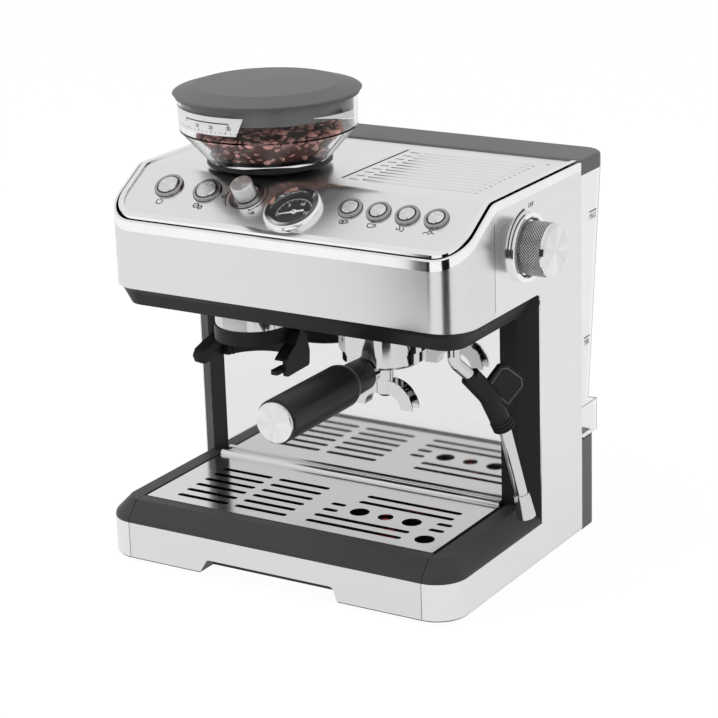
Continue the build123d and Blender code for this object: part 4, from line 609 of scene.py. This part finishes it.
def drawing(lines, width, thick=0.0001):
    """Flat raised lines in the XY plane, each a list of points in millimetres."""
    begin()
    curve = bpy.data.curves.new("lines", "CURVE")
    curve.dimensions = "3D"
    curve.bevel_depth = width / 2
    curve.bevel_resolution = 1
    curve.use_fill_caps = True
    for points in lines:
        spline = curve.splines.new("POLY")
        spline.points.add(len(points) - 1)
        for point, (x, y) in zip(spline.points, points):
            point.co = (x * MM, y * MM, 0, 1)
    piece = bpy.data.objects.new("lines", curve)
    bpy.context.collection.objects.link(piece)
    bpy.context.view_layer.objects.active = piece
    piece.select_set(True)
    bpy.ops.object.convert(target="MESH")
    piece = bpy.context.object
    piece.data.transform(Matrix.Diagonal((1, 1, thick / width, 1)))
    return piece


def join(pieces):
    """Several meshes made one."""
    begin()
    for piece in pieces:
        piece.select_set(True)
    bpy.context.view_layer.objects.active = pieces[0]
    bpy.ops.object.join()
    return bpy.context.object


def turned(profile, steps=96):
    """A solid of revolution about Z: a disc drawn up ring by ring, in millimetres."""
    begin()
    radius, height = profile[0]
    bpy.ops.mesh.primitive_circle_add(vertices=steps, radius=radius * MM, fill_type="NGON",
                                      location=(0, 0, 0))
    piece = bpy.context.object
    bpy.ops.object.mode_set(mode="EDIT")
    bpy.ops.mesh.select_all(action="SELECT")
    bpy.ops.transform.translate(value=(0, 0, height * MM))
    for wide, high in profile[1:]:
        step = (0, 0, (high - height) * MM)
        bpy.ops.mesh.extrude_region_move(TRANSFORM_OT_translate={"value": step})
        growth = wide / radius
        bpy.ops.transform.resize(value=(growth, growth, 1), center_override=(0, 0, high * MM))
        radius, height = wide, high
    bpy.ops.mesh.select_all(action="SELECT")
    bpy.ops.mesh.normals_make_consistent(inside=False)
    bpy.ops.object.mode_set(mode="OBJECT")
    bpy.ops.object.shade_smooth_by_angle(angle=radians(28))
    return piece


PRINT_LIFT = 0.00006
# Black for the printed marks, also used for the painted shade round the buttons and in the steam knob's
# recess.
ink = grained("black_print_and_painted_shade", grey(0.015), 0.5, 2000.0, 60.0, 0.02, 0.00001, 0.1, 0.1)
white_print = grained("white_print", grey(0.92), 0.45, 2000.0, 40.0, 0.02, 0.00001, 0.03, 0.1)
tank_ink = grained("grey_print", grey(0.03), 0.5, 2000.0, 60.0, 0.02, 0.00001, 0.1, 0.1)
print("helpers ready")

# %% [markdown]
# ### Painted shade round the buttons
# Every button sits in a grey ring. A dark line is painted over the gap round its face, and another where the
# ring meets the sheet, as painted shade in these gaps.

# %% Painted shade round the buttons
RING_RISE = 2.2 * MM
BIG_FACE, SMALL_FACE, DIAL_EDGE = 8.5, 6.4, 14.2
RING_EDGE, GAP_MIDDLE = 3.35, 0.75
dial_mm = DIAL_X / MM
outer_shade_lines, gap_shade_lines = [], []
for name, x in BUTTONS.items():
    face = BIG_FACE if name in ("power_button", "grind_button") else SMALL_FACE
    outer_shade_lines += moved([arc(0, 0, face + RING_EDGE, 0, 360, 48)], x / MM, 0)
    gap_shade_lines += moved([arc(0, 0, face + GAP_MIDDLE, 0, 360, 40)], x / MM, 0)
outer_shade_lines += moved([arc(0, 0, DIAL_EDGE, 0, 360, 56)], dial_mm, 0)
# Black circles as painted shade: one at each ring's foot on the sheet, one over the gap round each face.
outer = drawing(outer_shade_lines, 0.0007)
outer.data.transform(panel_matrix(0, CONTROL_UP, PRINT_LIFT))
inner = drawing(gap_shade_lines, 0.0009)
inner.data.transform(panel_matrix(0, CONTROL_UP, RING_RISE))
keep(join([outer, inner]), "button_gap_shade", ink, "machine")
print(len(outer_shade_lines) + len(gap_shade_lines), "ring lines")

# %% [markdown]
# ### Panel icons
# Each button has a small pictogram below it and the dial has a beans mark and
# a portion mark. They are plain line drawings: a power sign, beans, one cup,
# two cups, drops and a steam plume. All are drawn in millimetres around
# the origin and laid on the slope together.

# %% Panel icons
bean_shape = [arc(0, 0, 1.5, 0, 360, 16), [(-1.0, -1.0), (-0.2, 0.1), (0.2, -0.1), (1.0, 1.0)]]
cup_shape = [[(-1.8, 1.0), (-1.5, -0.8), (-0.9, -1.3), (0.9, -1.3), (1.5, -0.8), (1.8, 1.0),
              (-1.8, 1.0)],
             arc(2.0, 0.0, 0.8, -90, 90, 8)]
icons = {
    "power": [arc(0, 0, 1.7, 120, 420, 20), [(0, 0.6), (0, 2.2)]],
    "beans": moved(bean_shape, -1.3, 0.4) + moved(bean_shape, 1.5, -0.5, 0.8),
    "one_cup": moved(cup_shape, 0, 0) + moved(bean_shape, 0, -0.1, 0.35),
    "two_cups": moved(cup_shape, -0.2, -0.2) + [[(-0.6, 1.6), (-0.6, 2.4)], [(0.6, 1.6), (0.6, 2.4)]],
    "drops": [arc(-1.1, 0.2, 0.9, -200, 20, 12) + [(-1.1, 2.0)],
              arc(1.2, -0.5, 0.9, -200, 20, 12) + [(1.2, 1.2)]],
    "steam": [arc(-1.8, -1.3, 1.1, 180, 60, 8), arc(0.2, 0.0, 1.0, 240, 20, 10),
              arc(1.6, -1.2, 1.2, 190, 20, 10), [(-0.6, 1.2), (-0.2, 2.2)], [(0.9, 1.2), (1.3, 2.2)]],
}
ICON_SCALE, ICON_LINE = 1.6, 0.0008
SMALL_DROP, BIG_DROP = 13.8, 16.8
DOSE_RADIUS, TICK_IN, TICK_OUT = 17.6, 16.4, 18.6
icon_places = dict(zip(icons, BUTTONS.values()))
icon_drops = {"power": BIG_DROP, "beans": BIG_DROP}
drawn = []
for name, lines in icons.items():
    drawn += moved(lines, icon_places[name] / MM, -icon_drops.get(name, SMALL_DROP), ICON_SCALE)
drawn += moved(bean_shape, dial_mm - 19.5, -3.0, 1.1) + moved(icons["steam"], dial_mm + 14.0, -17.0)
drawn += [arc(dial_mm, 0, DOSE_RADIUS, -55, 42, 24), arc(dial_mm, 0, DOSE_RADIUS, 150, 225, 18)]
for angle in (-55, -30, -5, 20, 42):
    drawn += moved([[polar(TICK_IN, angle), polar(TICK_OUT, angle)]], dial_mm, 0)
marks = drawing(drawn, ICON_LINE)
marks.data.transform(panel_matrix(0, CONTROL_UP, PRINT_LIFT))
keep(marks, "panel_icons", ink, "machine")
print(len(drawn), "strokes on the panel")

# %% [markdown]
# ### Gauge scale
# The dial carries a thin white ring with ticks and a few numbers. It lies on
# the black face, under the needle, so it is only a tenth of a millimetre high.

# %% Gauge scale
GAUGE_X, GAUGE_UP = 0.0015, 0.0336
FACE_DEPTH, SCALE_LIFT = -0.0024, 0.00012
NUMBER_SIZE = 0.0042
SCALE_RADIUS, SHORT_TICK, LONG_TICK, NUMBER_RADIUS = 14.6, 13.0, 12.2, 9.9
FIRST_TICK, SCALE_SPAN, TICKS = 205, 267, 17
scale_lines = [arc(0, 0, SCALE_RADIUS, FIRST_TICK, FIRST_TICK - SCALE_SPAN, 64)]
for i in range(TICKS):
    angle = FIRST_TICK - i * SCALE_SPAN / (TICKS - 1)
    scale_lines.append([polar(SCALE_RADIUS, angle), polar(SHORT_TICK if i % 4 else LONG_TICK, angle)])
scale_ring = drawing(scale_lines, 0.00032)
numbers = []
for words, angle in (("5", 138), ("10", 71), ("15", 5)):
    number = lettering(words, NUMBER_SIZE)
    x, y = polar(NUMBER_RADIUS, angle)
    number.data.transform(Matrix.Translation((x * MM, y * MM, 0)))
    numbers.append(number)
gauge_scale = join([scale_ring] + numbers)
gauge_scale.data.transform(panel_matrix(GAUGE_X, GAUGE_UP, FACE_DEPTH + SCALE_LIFT))
keep(gauge_scale, "gauge_scale", white_print, "machine")
print("gauge scale with", len(numbers), "numbers")

# %% [markdown]
# ### Labels round the bowl
# The bowl carries a white band with a grind scale on its left and a small
# white wedge with a pointer on its right. Each is drawn flat, with X as the
# distance round the bowl and Y as the height, cut fine enough to bend, and
# then bent round the hopper's axis a little outside the plastic.

# %% Bending round the bowl
HOPPER_X, HOPPER_Y = -0.061, -0.0095
bowl_low, bowl_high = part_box("hopper_bowl")
BOWL_TOP = bowl_high.z
BOWL_RADIUS = (bowl_high.x - bowl_low.x) / 2 + 0.00008
BOWL_LEAN = 0.0007 / 0.026


def round_bowl(piece, lift=0.0):
    """Bend a flat drawing: x is the arc from the front, y the height."""
    for vertex in piece.data.vertices:
        x, y, z = vertex.co
        radius = BOWL_RADIUS - (BOWL_TOP - y) * BOWL_LEAN + lift + z
        angle = -pi / 2 + x / BOWL_RADIUS
        vertex.co = (HOPPER_X + radius * cos(angle), HOPPER_Y + radius * sin(angle), y)
    piece.data.update()
    return piece


def at_angle(degrees_round, height):
    """Flat place, in millimetres, of a point at an angle round the bowl."""
    return (radians(degrees_round + 90) * BOWL_RADIUS / MM, height)


def patch(corners, columns, rows=4):
    """A four-cornered flat sheet, corners in millimetres, divided to bend well."""
    begin()
    bpy.ops.mesh.primitive_grid_add(x_subdivisions=columns, y_subdivisions=rows, size=2.0,
                                    location=(0, 0, 0))
    sheet = bpy.context.object
    (ax, ay), (bx, by), (cx, cy), (dx, dy) = corners
    for vertex in sheet.data.vertices:
        u, v = (vertex.co.x + 1) / 2, (vertex.co.y + 1) / 2
        low = Vector((ax + (bx - ax) * u, ay + (by - ay) * u, 0))
        high = Vector((dx + (cx - dx) * u, dy + (cy - dy) * u, 0))
        vertex.co = (low + (high - low) * v) * MM
    return sheet


band = patch([at_angle(-178, 352), at_angle(-77, 352.5), at_angle(-72, 366.8), at_angle(-178, 367)],
             48)
wedge = patch([at_angle(-27, 363.6), at_angle(14, 355), at_angle(14, 362), at_angle(-27, 364.0)], 24)
label = join([round_bowl(band), round_bowl(wedge)])
keep(label, "bowl_label", white_print, "hopper")
print("label", len(label.data.polygons), "faces")

# %% Grind scale
bracket = ((-119, 359.5), (-119, 362), (-101, 362.1), (-82, 362.2), (-82, 359.6))
scale = [[at_angle(a, h) for a, h in bracket]]
FIRST_STROKE, STROKE_STEP, STROKE_FOOT = -131, 3.6, 354.4
for i in range(16):
    angle = FIRST_STROKE + i * STROKE_STEP
    scale.append([at_angle(angle, STROKE_FOOT), at_angle(angle, 355.6 if i % 3 == 1 else 354.9)])
fine = []
for points in scale:
    dense = []
    for (x0, y0), (x1, y1) in zip(points, points[1:]):
        pieces = max(1, int(abs(x1 - x0) / 2))
        dense += [(x0 + (x1 - x0) * i / pieces, y0 + (y1 - y0) * i / pieces) for i in range(pieces)]
    fine.append(dense + [points[-1]])
marks = [drawing(fine, 0.0009)]
for words, angle in (("10", -107), ("20", -95), ("30", -82)):
    number = lettering(words, NUMBER_SIZE)
    x, y = at_angle(angle, 358.3)
    number.data.transform(Matrix.Translation((x * MM, y * MM, 0)))
    marks.append(number)
marks.append(patch([at_angle(-6.2, 364.2), at_angle(-1.8, 364.0), at_angle(-3.9, 367.2),
                    at_angle(-4.1, 367.2)], 3, 3))
grind_scale = round_bowl(join(marks), 0.0001)
keep(grind_scale, "grind_scale", ink, "hopper")
print(len(fine), "scale strokes")

# %% [markdown]
# ### Coffee beans
# A bean is an ellipsoid that is flat below with a groove along it. One is shaped from a coarse sphere, and
# the heap is a few hundred copies thrown into the bowl's space by a seeded random generator, kept apart from
# one another and inside the plastic. A dark core stops the light from passing through; its colour, far
# darker than the beans, is painted shade for the beans deep in the heap.

# %% One bean
BEAN_RADII = (0.0050, 0.0037, 0.0027)
BEAN_FLAT, FLATTEN = -0.0004, 0.35
GROOVE_WIDE, GROOVE_DEEP = 0.0009, 0.0007
begin()
bpy.ops.mesh.primitive_uv_sphere_add(segments=10, ring_count=7, radius=1.0, location=(0, 0, 0))
bean = bpy.context.object
bpy.ops.object.mode_set(mode="EDIT")
bpy.ops.mesh.select_all(action="SELECT")
bpy.ops.transform.rotate(value=pi / 2, orient_axis="Y", center_override=(0, 0, 0))
bpy.ops.transform.resize(value=BEAN_RADII)
bpy.ops.object.mode_set(mode="OBJECT")
for vertex in bean.data.vertices:
    if vertex.co.z < BEAN_FLAT:
        vertex.co.z = BEAN_FLAT + (vertex.co.z - BEAN_FLAT) * FLATTEN
    if vertex.co.z < 0 and abs(vertex.co.y) < GROOVE_WIDE:
        vertex.co.z += GROOVE_DEEP
bean_points = [vertex.co.copy() for vertex in bean.data.vertices]
bean_faces = [tuple(face.vertices) for face in bean.data.polygons]
bpy.data.objects.remove(bean)
print("one bean:", len(bean_faces), "faces")

# %% The heap
beans_low, beans_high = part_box("coffee_beans")
HEAP_FLOOR, HEAP_TOP = beans_low.z, beans_high.z
BEANS, TRIES, SPACING = 760, 40000, 0.0049
FOOT_RADIUS, SHOULDER_RADIUS = 0.0475, 0.0688
WALL_GAP, SHELL, TOP_LAYER = 0.0046, 0.012, 0.007
CORE_PROFILE = [(40, 0), (46, 4), (56, 14), (55, 20.0), (40, 21.6), (12, 21.8)]
chance = random.Random(11)


def bowl_inside(z):
    """Inner radius of the bowl at a height."""
    share = min(1.0, max(0.0, (z - HEAP_FLOOR - 0.0022) / 0.0245))
    return FOOT_RADIUS + (SHOULDER_RADIUS - FOOT_RADIUS) * share


places = []
tries = 0
while tries < TRIES and len(places) < BEANS:
    tries += 1
    z = chance.uniform(HEAP_FLOOR + 0.0065, HEAP_TOP - 0.0005)
    limit = bowl_inside(z - 0.003) - WALL_GAP
    radius = limit * sqrt(chance.uniform(0.0, 1.0))
    top = HEAP_TOP - 0.0012 - 0.004 * (radius / 0.06) ** 3
    core = limit - SHELL
    if z > top or (radius < core and z < top - TOP_LAYER):
        continue
    angle = chance.uniform(0, 2 * pi)
    spot = Vector((HOPPER_X + radius * cos(angle), HOPPER_Y + radius * sin(angle), z))
    if all((spot - other).length > SPACING for other in places):
        places.append(spot)
points, faces, tones = [], [], []
for spot in places:
    spin = Matrix.Rotation(chance.uniform(0, 2 * pi), 3, "Z")
    spin = spin @ Matrix.Rotation(chance.uniform(-1.2, 1.2), 3, "X")
    spin = spin @ Matrix.Rotation(chance.choice((0, pi)) + chance.uniform(-0.5, 0.5), 3, "Y")
    size = chance.uniform(0.86, 1.0)
    start = len(points)
    points += [spin @ (p * size) + spot for p in bean_points]
    faces += [tuple(start + i for i in face) for face in bean_faces]
    tones += [chance.uniform(0, 1)] * len(bean_points)
heap_mesh = bpy.data.meshes.new("bean_heap")
heap_mesh.from_pydata([tuple(p) for p in points], [], faces)
tone_layer = heap_mesh.attributes.new("roast", "FLOAT", "POINT")
tone_layer.data.foreach_set("value", tones)
for face in heap_mesh.polygons:
    face.use_smooth = True
heap = bpy.data.objects.new("bean_heap", heap_mesh)
bpy.context.collection.objects.link(heap)
core_piece = turned(CORE_PROFILE, 48)
core_piece.data.transform(Matrix.Translation((HOPPER_X, HOPPER_Y, HEAP_FLOOR + 0.0028)))
begin()
print(len(places), "beans,", len(faces), "faces")

# %% Roast
heap_material = grained("roasted_beans", (0.56, 0.28, 0.24, 1), 0.30, 500.0, 160.0, 0.15, 0.0002, 0.35,
                        0.25)
roast = heap_material.node_tree
roast_tone = chain(roast, "ShaderNodeAttribute", attribute_name="roast")
roast_ramp = chain(roast, "ShaderNodeMapRange", {"To Min": 0.5, "To Max": 1.6})
roast_scale = chain(roast, "ShaderNodeVectorMath", operation="SCALE")
roast_shader = roast.nodes["Principled BSDF"]
roast_base = roast_shader.inputs["Base Color"].links[0].from_socket
wire(
    roast,
    (roast_tone.outputs["Fac"], roast_ramp.inputs["Value"]),
    (roast_base, roast_scale.inputs[0]),
    (roast_ramp.outputs["Result"], roast_scale.inputs["Scale"]),
    (roast_scale.outputs["Vector"], roast_shader.inputs["Base Color"]),
)
keep(heap, "bean_heap", heap_material, "hopper")
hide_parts("coffee_beans")
# The core's dark brown is painted shade for the inner beans that no light reaches.
core_shade_finish = grained("bean_core_shade", (0.10, 0.045, 0.038, 1), 0.6, 400.0, 90.0, 0.2, 0.0003, 0.3, 0.1)
keep(core_piece, "bean_core_shade", core_shade_finish, "hopper")
print("beans roasted")

# %% [markdown]
# ### Steam knob
# The knob is a knurled drum with a polished groove and a turned rim and cap.
# The knurl is two sets of fine grooves that cross, far too many to model, so they are a height in the
# material: two waves that wind round the drum in opposite directions. The same waves darken the colour in
# the grooves and lighten it on the peaks, as painted shade. The drum, groove and cap are one turned shape
# with three finishes.

# %% Knurl group
knurl, k_in, k_out = new_group(
    "diamond_knurl",
    [("Vector", "Vector", None), ("Count", "Float", 96.0), ("Lead", "Float", 4500.0)],
    [("Height", "Float"), ("Shade", "Float")],
)
k_split = chain(knurl, "ShaderNodeSeparateXYZ")
k_turn = chain(knurl, "ShaderNodeMath", operation="ARCTAN2")
k_round = chain(knurl, "ShaderNodeMath", operation="MULTIPLY")
k_along = chain(knurl, "ShaderNodeMath", operation="MULTIPLY")
k_left = chain(knurl, "ShaderNodeMath", operation="ADD")
k_right = chain(knurl, "ShaderNodeMath", operation="SUBTRACT")
k_sin_a = chain(knurl, "ShaderNodeMath", operation="SINE")
k_sin_b = chain(knurl, "ShaderNodeMath", operation="SINE")
k_least = chain(knurl, "ShaderNodeMath", operation="MINIMUM")
# The height turned into a tone is painted shade: dark in the grooves, light on the peaks.
k_groove_shade = chain(knurl, "ShaderNodeMapRange",
                {"From Min": -1.0, "From Max": 0.6, "To Min": 0.3, "To Max": 0.7})
wire(
    knurl,
    (k_in.outputs["Vector"], k_split.inputs[0]),
    (k_split.outputs["Y"], k_turn.inputs[0]),
    (k_split.outputs["X"], k_turn.inputs[1]),
    (k_turn.outputs[0], k_round.inputs[0]),
    (k_in.outputs["Count"], k_round.inputs[1]),
    (k_split.outputs["Z"], k_along.inputs[0]),
    (k_in.outputs["Lead"], k_along.inputs[1]),
    (k_round.outputs[0], k_left.inputs[0]),
    (k_along.outputs[0], k_left.inputs[1]),
    (k_round.outputs[0], k_right.inputs[0]),
    (k_along.outputs[0], k_right.inputs[1]),
    (k_left.outputs[0], k_sin_a.inputs[0]),
    (k_right.outputs[0], k_sin_b.inputs[0]),
    (k_sin_a.outputs[0], k_least.inputs[0]),
    (k_sin_b.outputs[0], k_least.inputs[1]),
    (k_least.outputs[0], k_groove_shade.inputs["Value"]),
    (k_least.outputs[0], k_out.inputs["Height"]),
    (k_groove_shade.outputs["Result"], k_out.inputs["Shade"]),
)
print(knurl.name, "ready")

# %% Steam knob
KNOB_START = 0.1671
KNOB_END = knob_high.x
LENGTH = (KNOB_END - KNOB_START) / MM
TO_SIDE = Matrix(((0, 0, 1), (1, 0, 0), (0, 1, 0))).to_4x4()
WIDE = (knob_high.y - knob_low.y) / 2 / MM - 0.1
knob_steps = [(0.5, 3.3), (0.5, 2.8), (0, 2.7), (0, 2.2), (1.7, 0.3), (2.1, 0), (2.5, 0.12), (2.9, 0.12)]
knob_profile = [(WIDE - 0.8, 0), (WIDE, 0.5), (WIDE, LENGTH - 3.4)]
knob_profile += [(WIDE - inward, LENGTH - short) for inward, short in knob_steps]
knob = turned(knob_profile + [(2.0, LENGTH - 0.35)], 128)
knob.data.transform(Matrix.Translation((KNOB_START, KNOB_Y, KNOB_Z)) @ TO_SIDE)
# A tone of 0.85 makes the painted shade in the knurl's grooves strong.
knurled = dress("knurled_drum", grey(0.50), 1.0, 0.30, knurl, {"Count": 54.0, "Lead": 2860.0}, 0.8, 0.0003,
                0.85, 0.15, centre=(KNOB_START, KNOB_Y, KNOB_Z), tilt=(0, pi / 2, 0))
keep(knob, "steam_knob_turned", knurled, "steam_knob")
knob.data.materials.append(bright)
knob.data.materials.append(knob_face)
GROOVE_FROM, RIM_FROM, CAP_REACH = LENGTH - 3.45, LENGTH - 2.25, WIDE - 2.8
for face in knob.data.polygons:
    place = (face.center.x - KNOB_START) / MM
    reach = Vector((0, face.center.y - KNOB_Y, face.center.z - KNOB_Z)).length / MM
    if place > GROOVE_FROM:
        face.material_index = 1
    if (reach < CAP_REACH and place > 2) or place > RIM_FROM:
        face.material_index = 2
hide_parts("steam_knob")
print("knob", len(knob.data.polygons), "faces")

# %% Knob pointer
POINTER_SIZE, POINTER_TURN = (0.0030, 0.0016, 0.0056), radians(-9)
begin()
bpy.ops.mesh.primitive_cube_add(size=1.0, location=(0, 0, 0))
pointer = bpy.context.object
bpy.ops.object.mode_set(mode="EDIT")
bpy.ops.mesh.select_all(action="SELECT")
bpy.ops.transform.resize(value=POINTER_SIZE)
bpy.ops.mesh.bevel(offset=0.0003, segments=2)
bpy.ops.object.mode_set(mode="OBJECT")
pointer.data.transform(Matrix.Translation((KNOB_END - 0.0020, -(WIDE - 0.5) * MM, 0)))
pointer.data.transform(Matrix.Translation((0, KNOB_Y, KNOB_Z)) @ Matrix.Rotation(POINTER_TURN, 4, "X"))
keep(pointer, "knob_pointer", ink, "steam_knob")
print("pointer turned by", round(POINTER_TURN, 3))

# %% [markdown]
# ### Prints and painted shade on the side
# A black arc runs from OFF at the top of the knob round to its front, for the travel of the steam valve. A
# dark ring round the knob is painted shade in the recess of its bezel. The tank has its MAX and MIN marks,
# and fine lines where its moulded faces meet.

# %% Side prints and recess shade
def on_side(x, y, z):
    """Lays flat artwork on a face that looks right: its X runs to the rear, its Y up."""
    return Matrix.Translation((x, y, z)) @ TO_SIDE


_, side_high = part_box("right_side_panel")
SIDE_X = side_high.x + PRINT_LIFT
SEAM_Y, TRAVEL_RADIUS = -48.0, 30.2
knob_side = on_side(SIDE_X, KNOB_Y, KNOB_Z)
travel = drawing([arc(0, 0, TRAVEL_RADIUS, 94, 182, 40)], 0.0020)
travel.data.transform(knob_side)
off_word = lettering("OFF", 0.0052)
off_word.data.transform(on_side(SIDE_X, KNOB_Y + 0.0085, KNOB_Z + 0.0312))
seam = drawing([[(SEAM_Y - KNOB_Y / MM, -39.0), (SEAM_Y - KNOB_Y / MM, 30.0)]], 0.0004)
seam.data.transform(knob_side)
# A dark ring painted into the recess between the bezel and the knob: painted shade.
recess_shade = drawing([arc(0, 0, WIDE + 1.1, 0, 360, 64)], 0.0018)
recess_shade.data.transform(on_side(side_high.x + 0.0017, KNOB_Y, KNOB_Z))
side_marks_and_shade = join([travel, off_word, seam, recess_shade])
keep(side_marks_and_shade, "steam_marks_and_recess_shade", ink, "machine")
print("steam marks", len(side_marks_and_shade.data.polygons), "faces")

# %% Tank marks
tank_low, tank_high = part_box("water_tank")
TANK_X = tank_high.x + PRINT_LIFT
MARK_SIZE, MARK_WIDE = 0.0074, 17.3
tank_words = []
for words, y, z, wide in (("MAX", 0.1200, 0.2650, 13.0), ("MIN", 0.1085, 0.1620, 10.5)):
    word = lettering(words, MARK_SIZE)
    word.data.transform(Matrix.Diagonal((wide / MARK_WIDE, 1, 1, 1)))
    word.data.transform(on_side(TANK_X, y, z))
    bar = drawing([[(-wide / 2, 4.5), (wide / 2, 4.5)]], 0.0011)
    bar.data.transform(on_side(TANK_X, y, z))
    tank_words += [word, bar]
FOOT = tank_low.z / MM + 27.7
edge = drawing([[(133.6, tank_high.z / MM - 0.3), (111.2, FOOT + 5.0), (126.6, FOOT - 0.3),
                 (126.6, FOOT - 27.4)], [(126.6, FOOT - 0.3), (97.4, FOOT - 0.3)]], 0.0006)
edge.data.transform(on_side(TANK_X, 0, 0))
tank_words.append(edge)
tank_marks = join(tank_words)
keep(tank_marks, "tank_marks", tank_ink, "tank")
print(len(tank_words), "tank marks")

# %% [markdown]
# ### Label fields
# The two chrome rings under the head carry a white field each. They are left
# blank but for a small pointer, and are bent round their rings like the
# label on the bowl.

# %% Ring fields
def ring_field(x, y, radius, start, end, low, high, columns=14):
    """A sheet bent round an upright ring, angles in degrees and sizes in millimetres."""
    sheet = patch([(0, low), (1, low), (1, high), (0, high)], columns, 2)
    for vertex in sheet.data.vertices:
        angle = radians(start + (end - start) * vertex.co.x / MM)
        vertex.co = (x + (radius * MM) * cos(angle), y + (radius * MM) * sin(angle), vertex.co.y)
    sheet.data.update()
    return sheet


GROUP_X, RING_Y, FIELD_TOP = 0.061, -0.043, 209.5
GROUP_RADIUS, ARROW_RADIUS, ARROW_BEARING = 0.0355, 0.0357, radians(-124)
outlet_low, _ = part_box("grinder_outlet")
group_low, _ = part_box("group_head")
outlet_field = ring_field(-GROUP_X, RING_Y, 31.08, -109, -66, outlet_low.z / MM + 0.4, FIELD_TOP)
group_field = ring_field(GROUP_X, RING_Y, 35.58, -148, -118, group_low.z / MM + 0.5, FIELD_TOP)
keep(join([outlet_field, group_field]), "ring_fields", white_print, "machine")
arrow = patch([(-1.6, 200.6), (1.6, 200.6), (0.05, 197.0), (-0.05, 197.0)], 3, 3)
for vertex in arrow.data.vertices:
    angle = ARROW_BEARING + vertex.co.x / GROUP_RADIUS
    vertex.co = (GROUP_X + ARROW_RADIUS * cos(angle), RING_Y + ARROW_RADIUS * sin(angle), vertex.co.y)
keep(arrow, "group_arrow", ink, "machine")
print("ring fields done")

# %% [markdown]
# ### Wand grip
# The rubber sleeve ends in three ribs and its tab has a raised border, in lighter grey plastic as a painted
# highlight along the edge that catches the light. Both lie in the wand's own upright plane, which stands at
# a bearing to the case.

# %% Wand grip
WAND_X, WAND_Y, WAND_BEARING = 0.134, -0.063, radians(52.8)
RIB_PROFILE = [(7.9, 0), (8.8, 0.4), (8.8, 1.3), (7.9, 1.7)]
wand_out = Vector((cos(WAND_BEARING), sin(WAND_BEARING), 0))
wand_side = Vector((sin(WAND_BEARING), -cos(WAND_BEARING), 0))
sleeve_end = Vector((WAND_X, WAND_Y, 0.132)) + wand_out * 0.0413
sleeve_way = (wand_out * 12.8 + Vector((0, 0, -28.5))).normalized()
ribs = []
for back_off in (2.2, 5.2, 8.2):
    rib = turned(RIB_PROFILE, 48)
    rib.data.transform(sleeve_way.to_track_quat("Z", "Y").to_matrix().to_4x4())
    rib.data.transform(Matrix.Translation(sleeve_end - sleeve_way * (back_off * MM)))
    ribs.append(rib)
keep(join(ribs), "grip_ribs", rubber, "wand")
border_line = [(27.4, 168.0), (38.4, 181.4), (42.8, 181.4), (54.8, 171.4), (55.3, 165.2),
               (43.3, 152.4), (27.4, 168.0)]
wand_axes = Matrix((wand_out, Vector((0, 0, 1)), wand_side)).transposed().to_4x4()
TAB_HALF = 0.0030
border_faces = []
for side in (-1, 1):
    border = drawing([border_line], 0.0012, 0.0010)
    face_middle = Vector((WAND_X, WAND_Y, 0)) + wand_side * (TAB_HALF * side)
    border.data.transform(Matrix.Translation(face_middle) @ wand_axes)
    border_faces.append(border)
# The lighter grey of the border is a painted highlight on its edge.
keep(join(border_faces), "tab_border_highlight", smoke, "wand")
print(len(ribs), "ribs")

# %% Parts left undressed
undressed = [name for name, piece in nodes.items()
             if not piece.material_slots or piece.material_slots[0].material.name.startswith("Mat")]
print("undressed:", undressed)
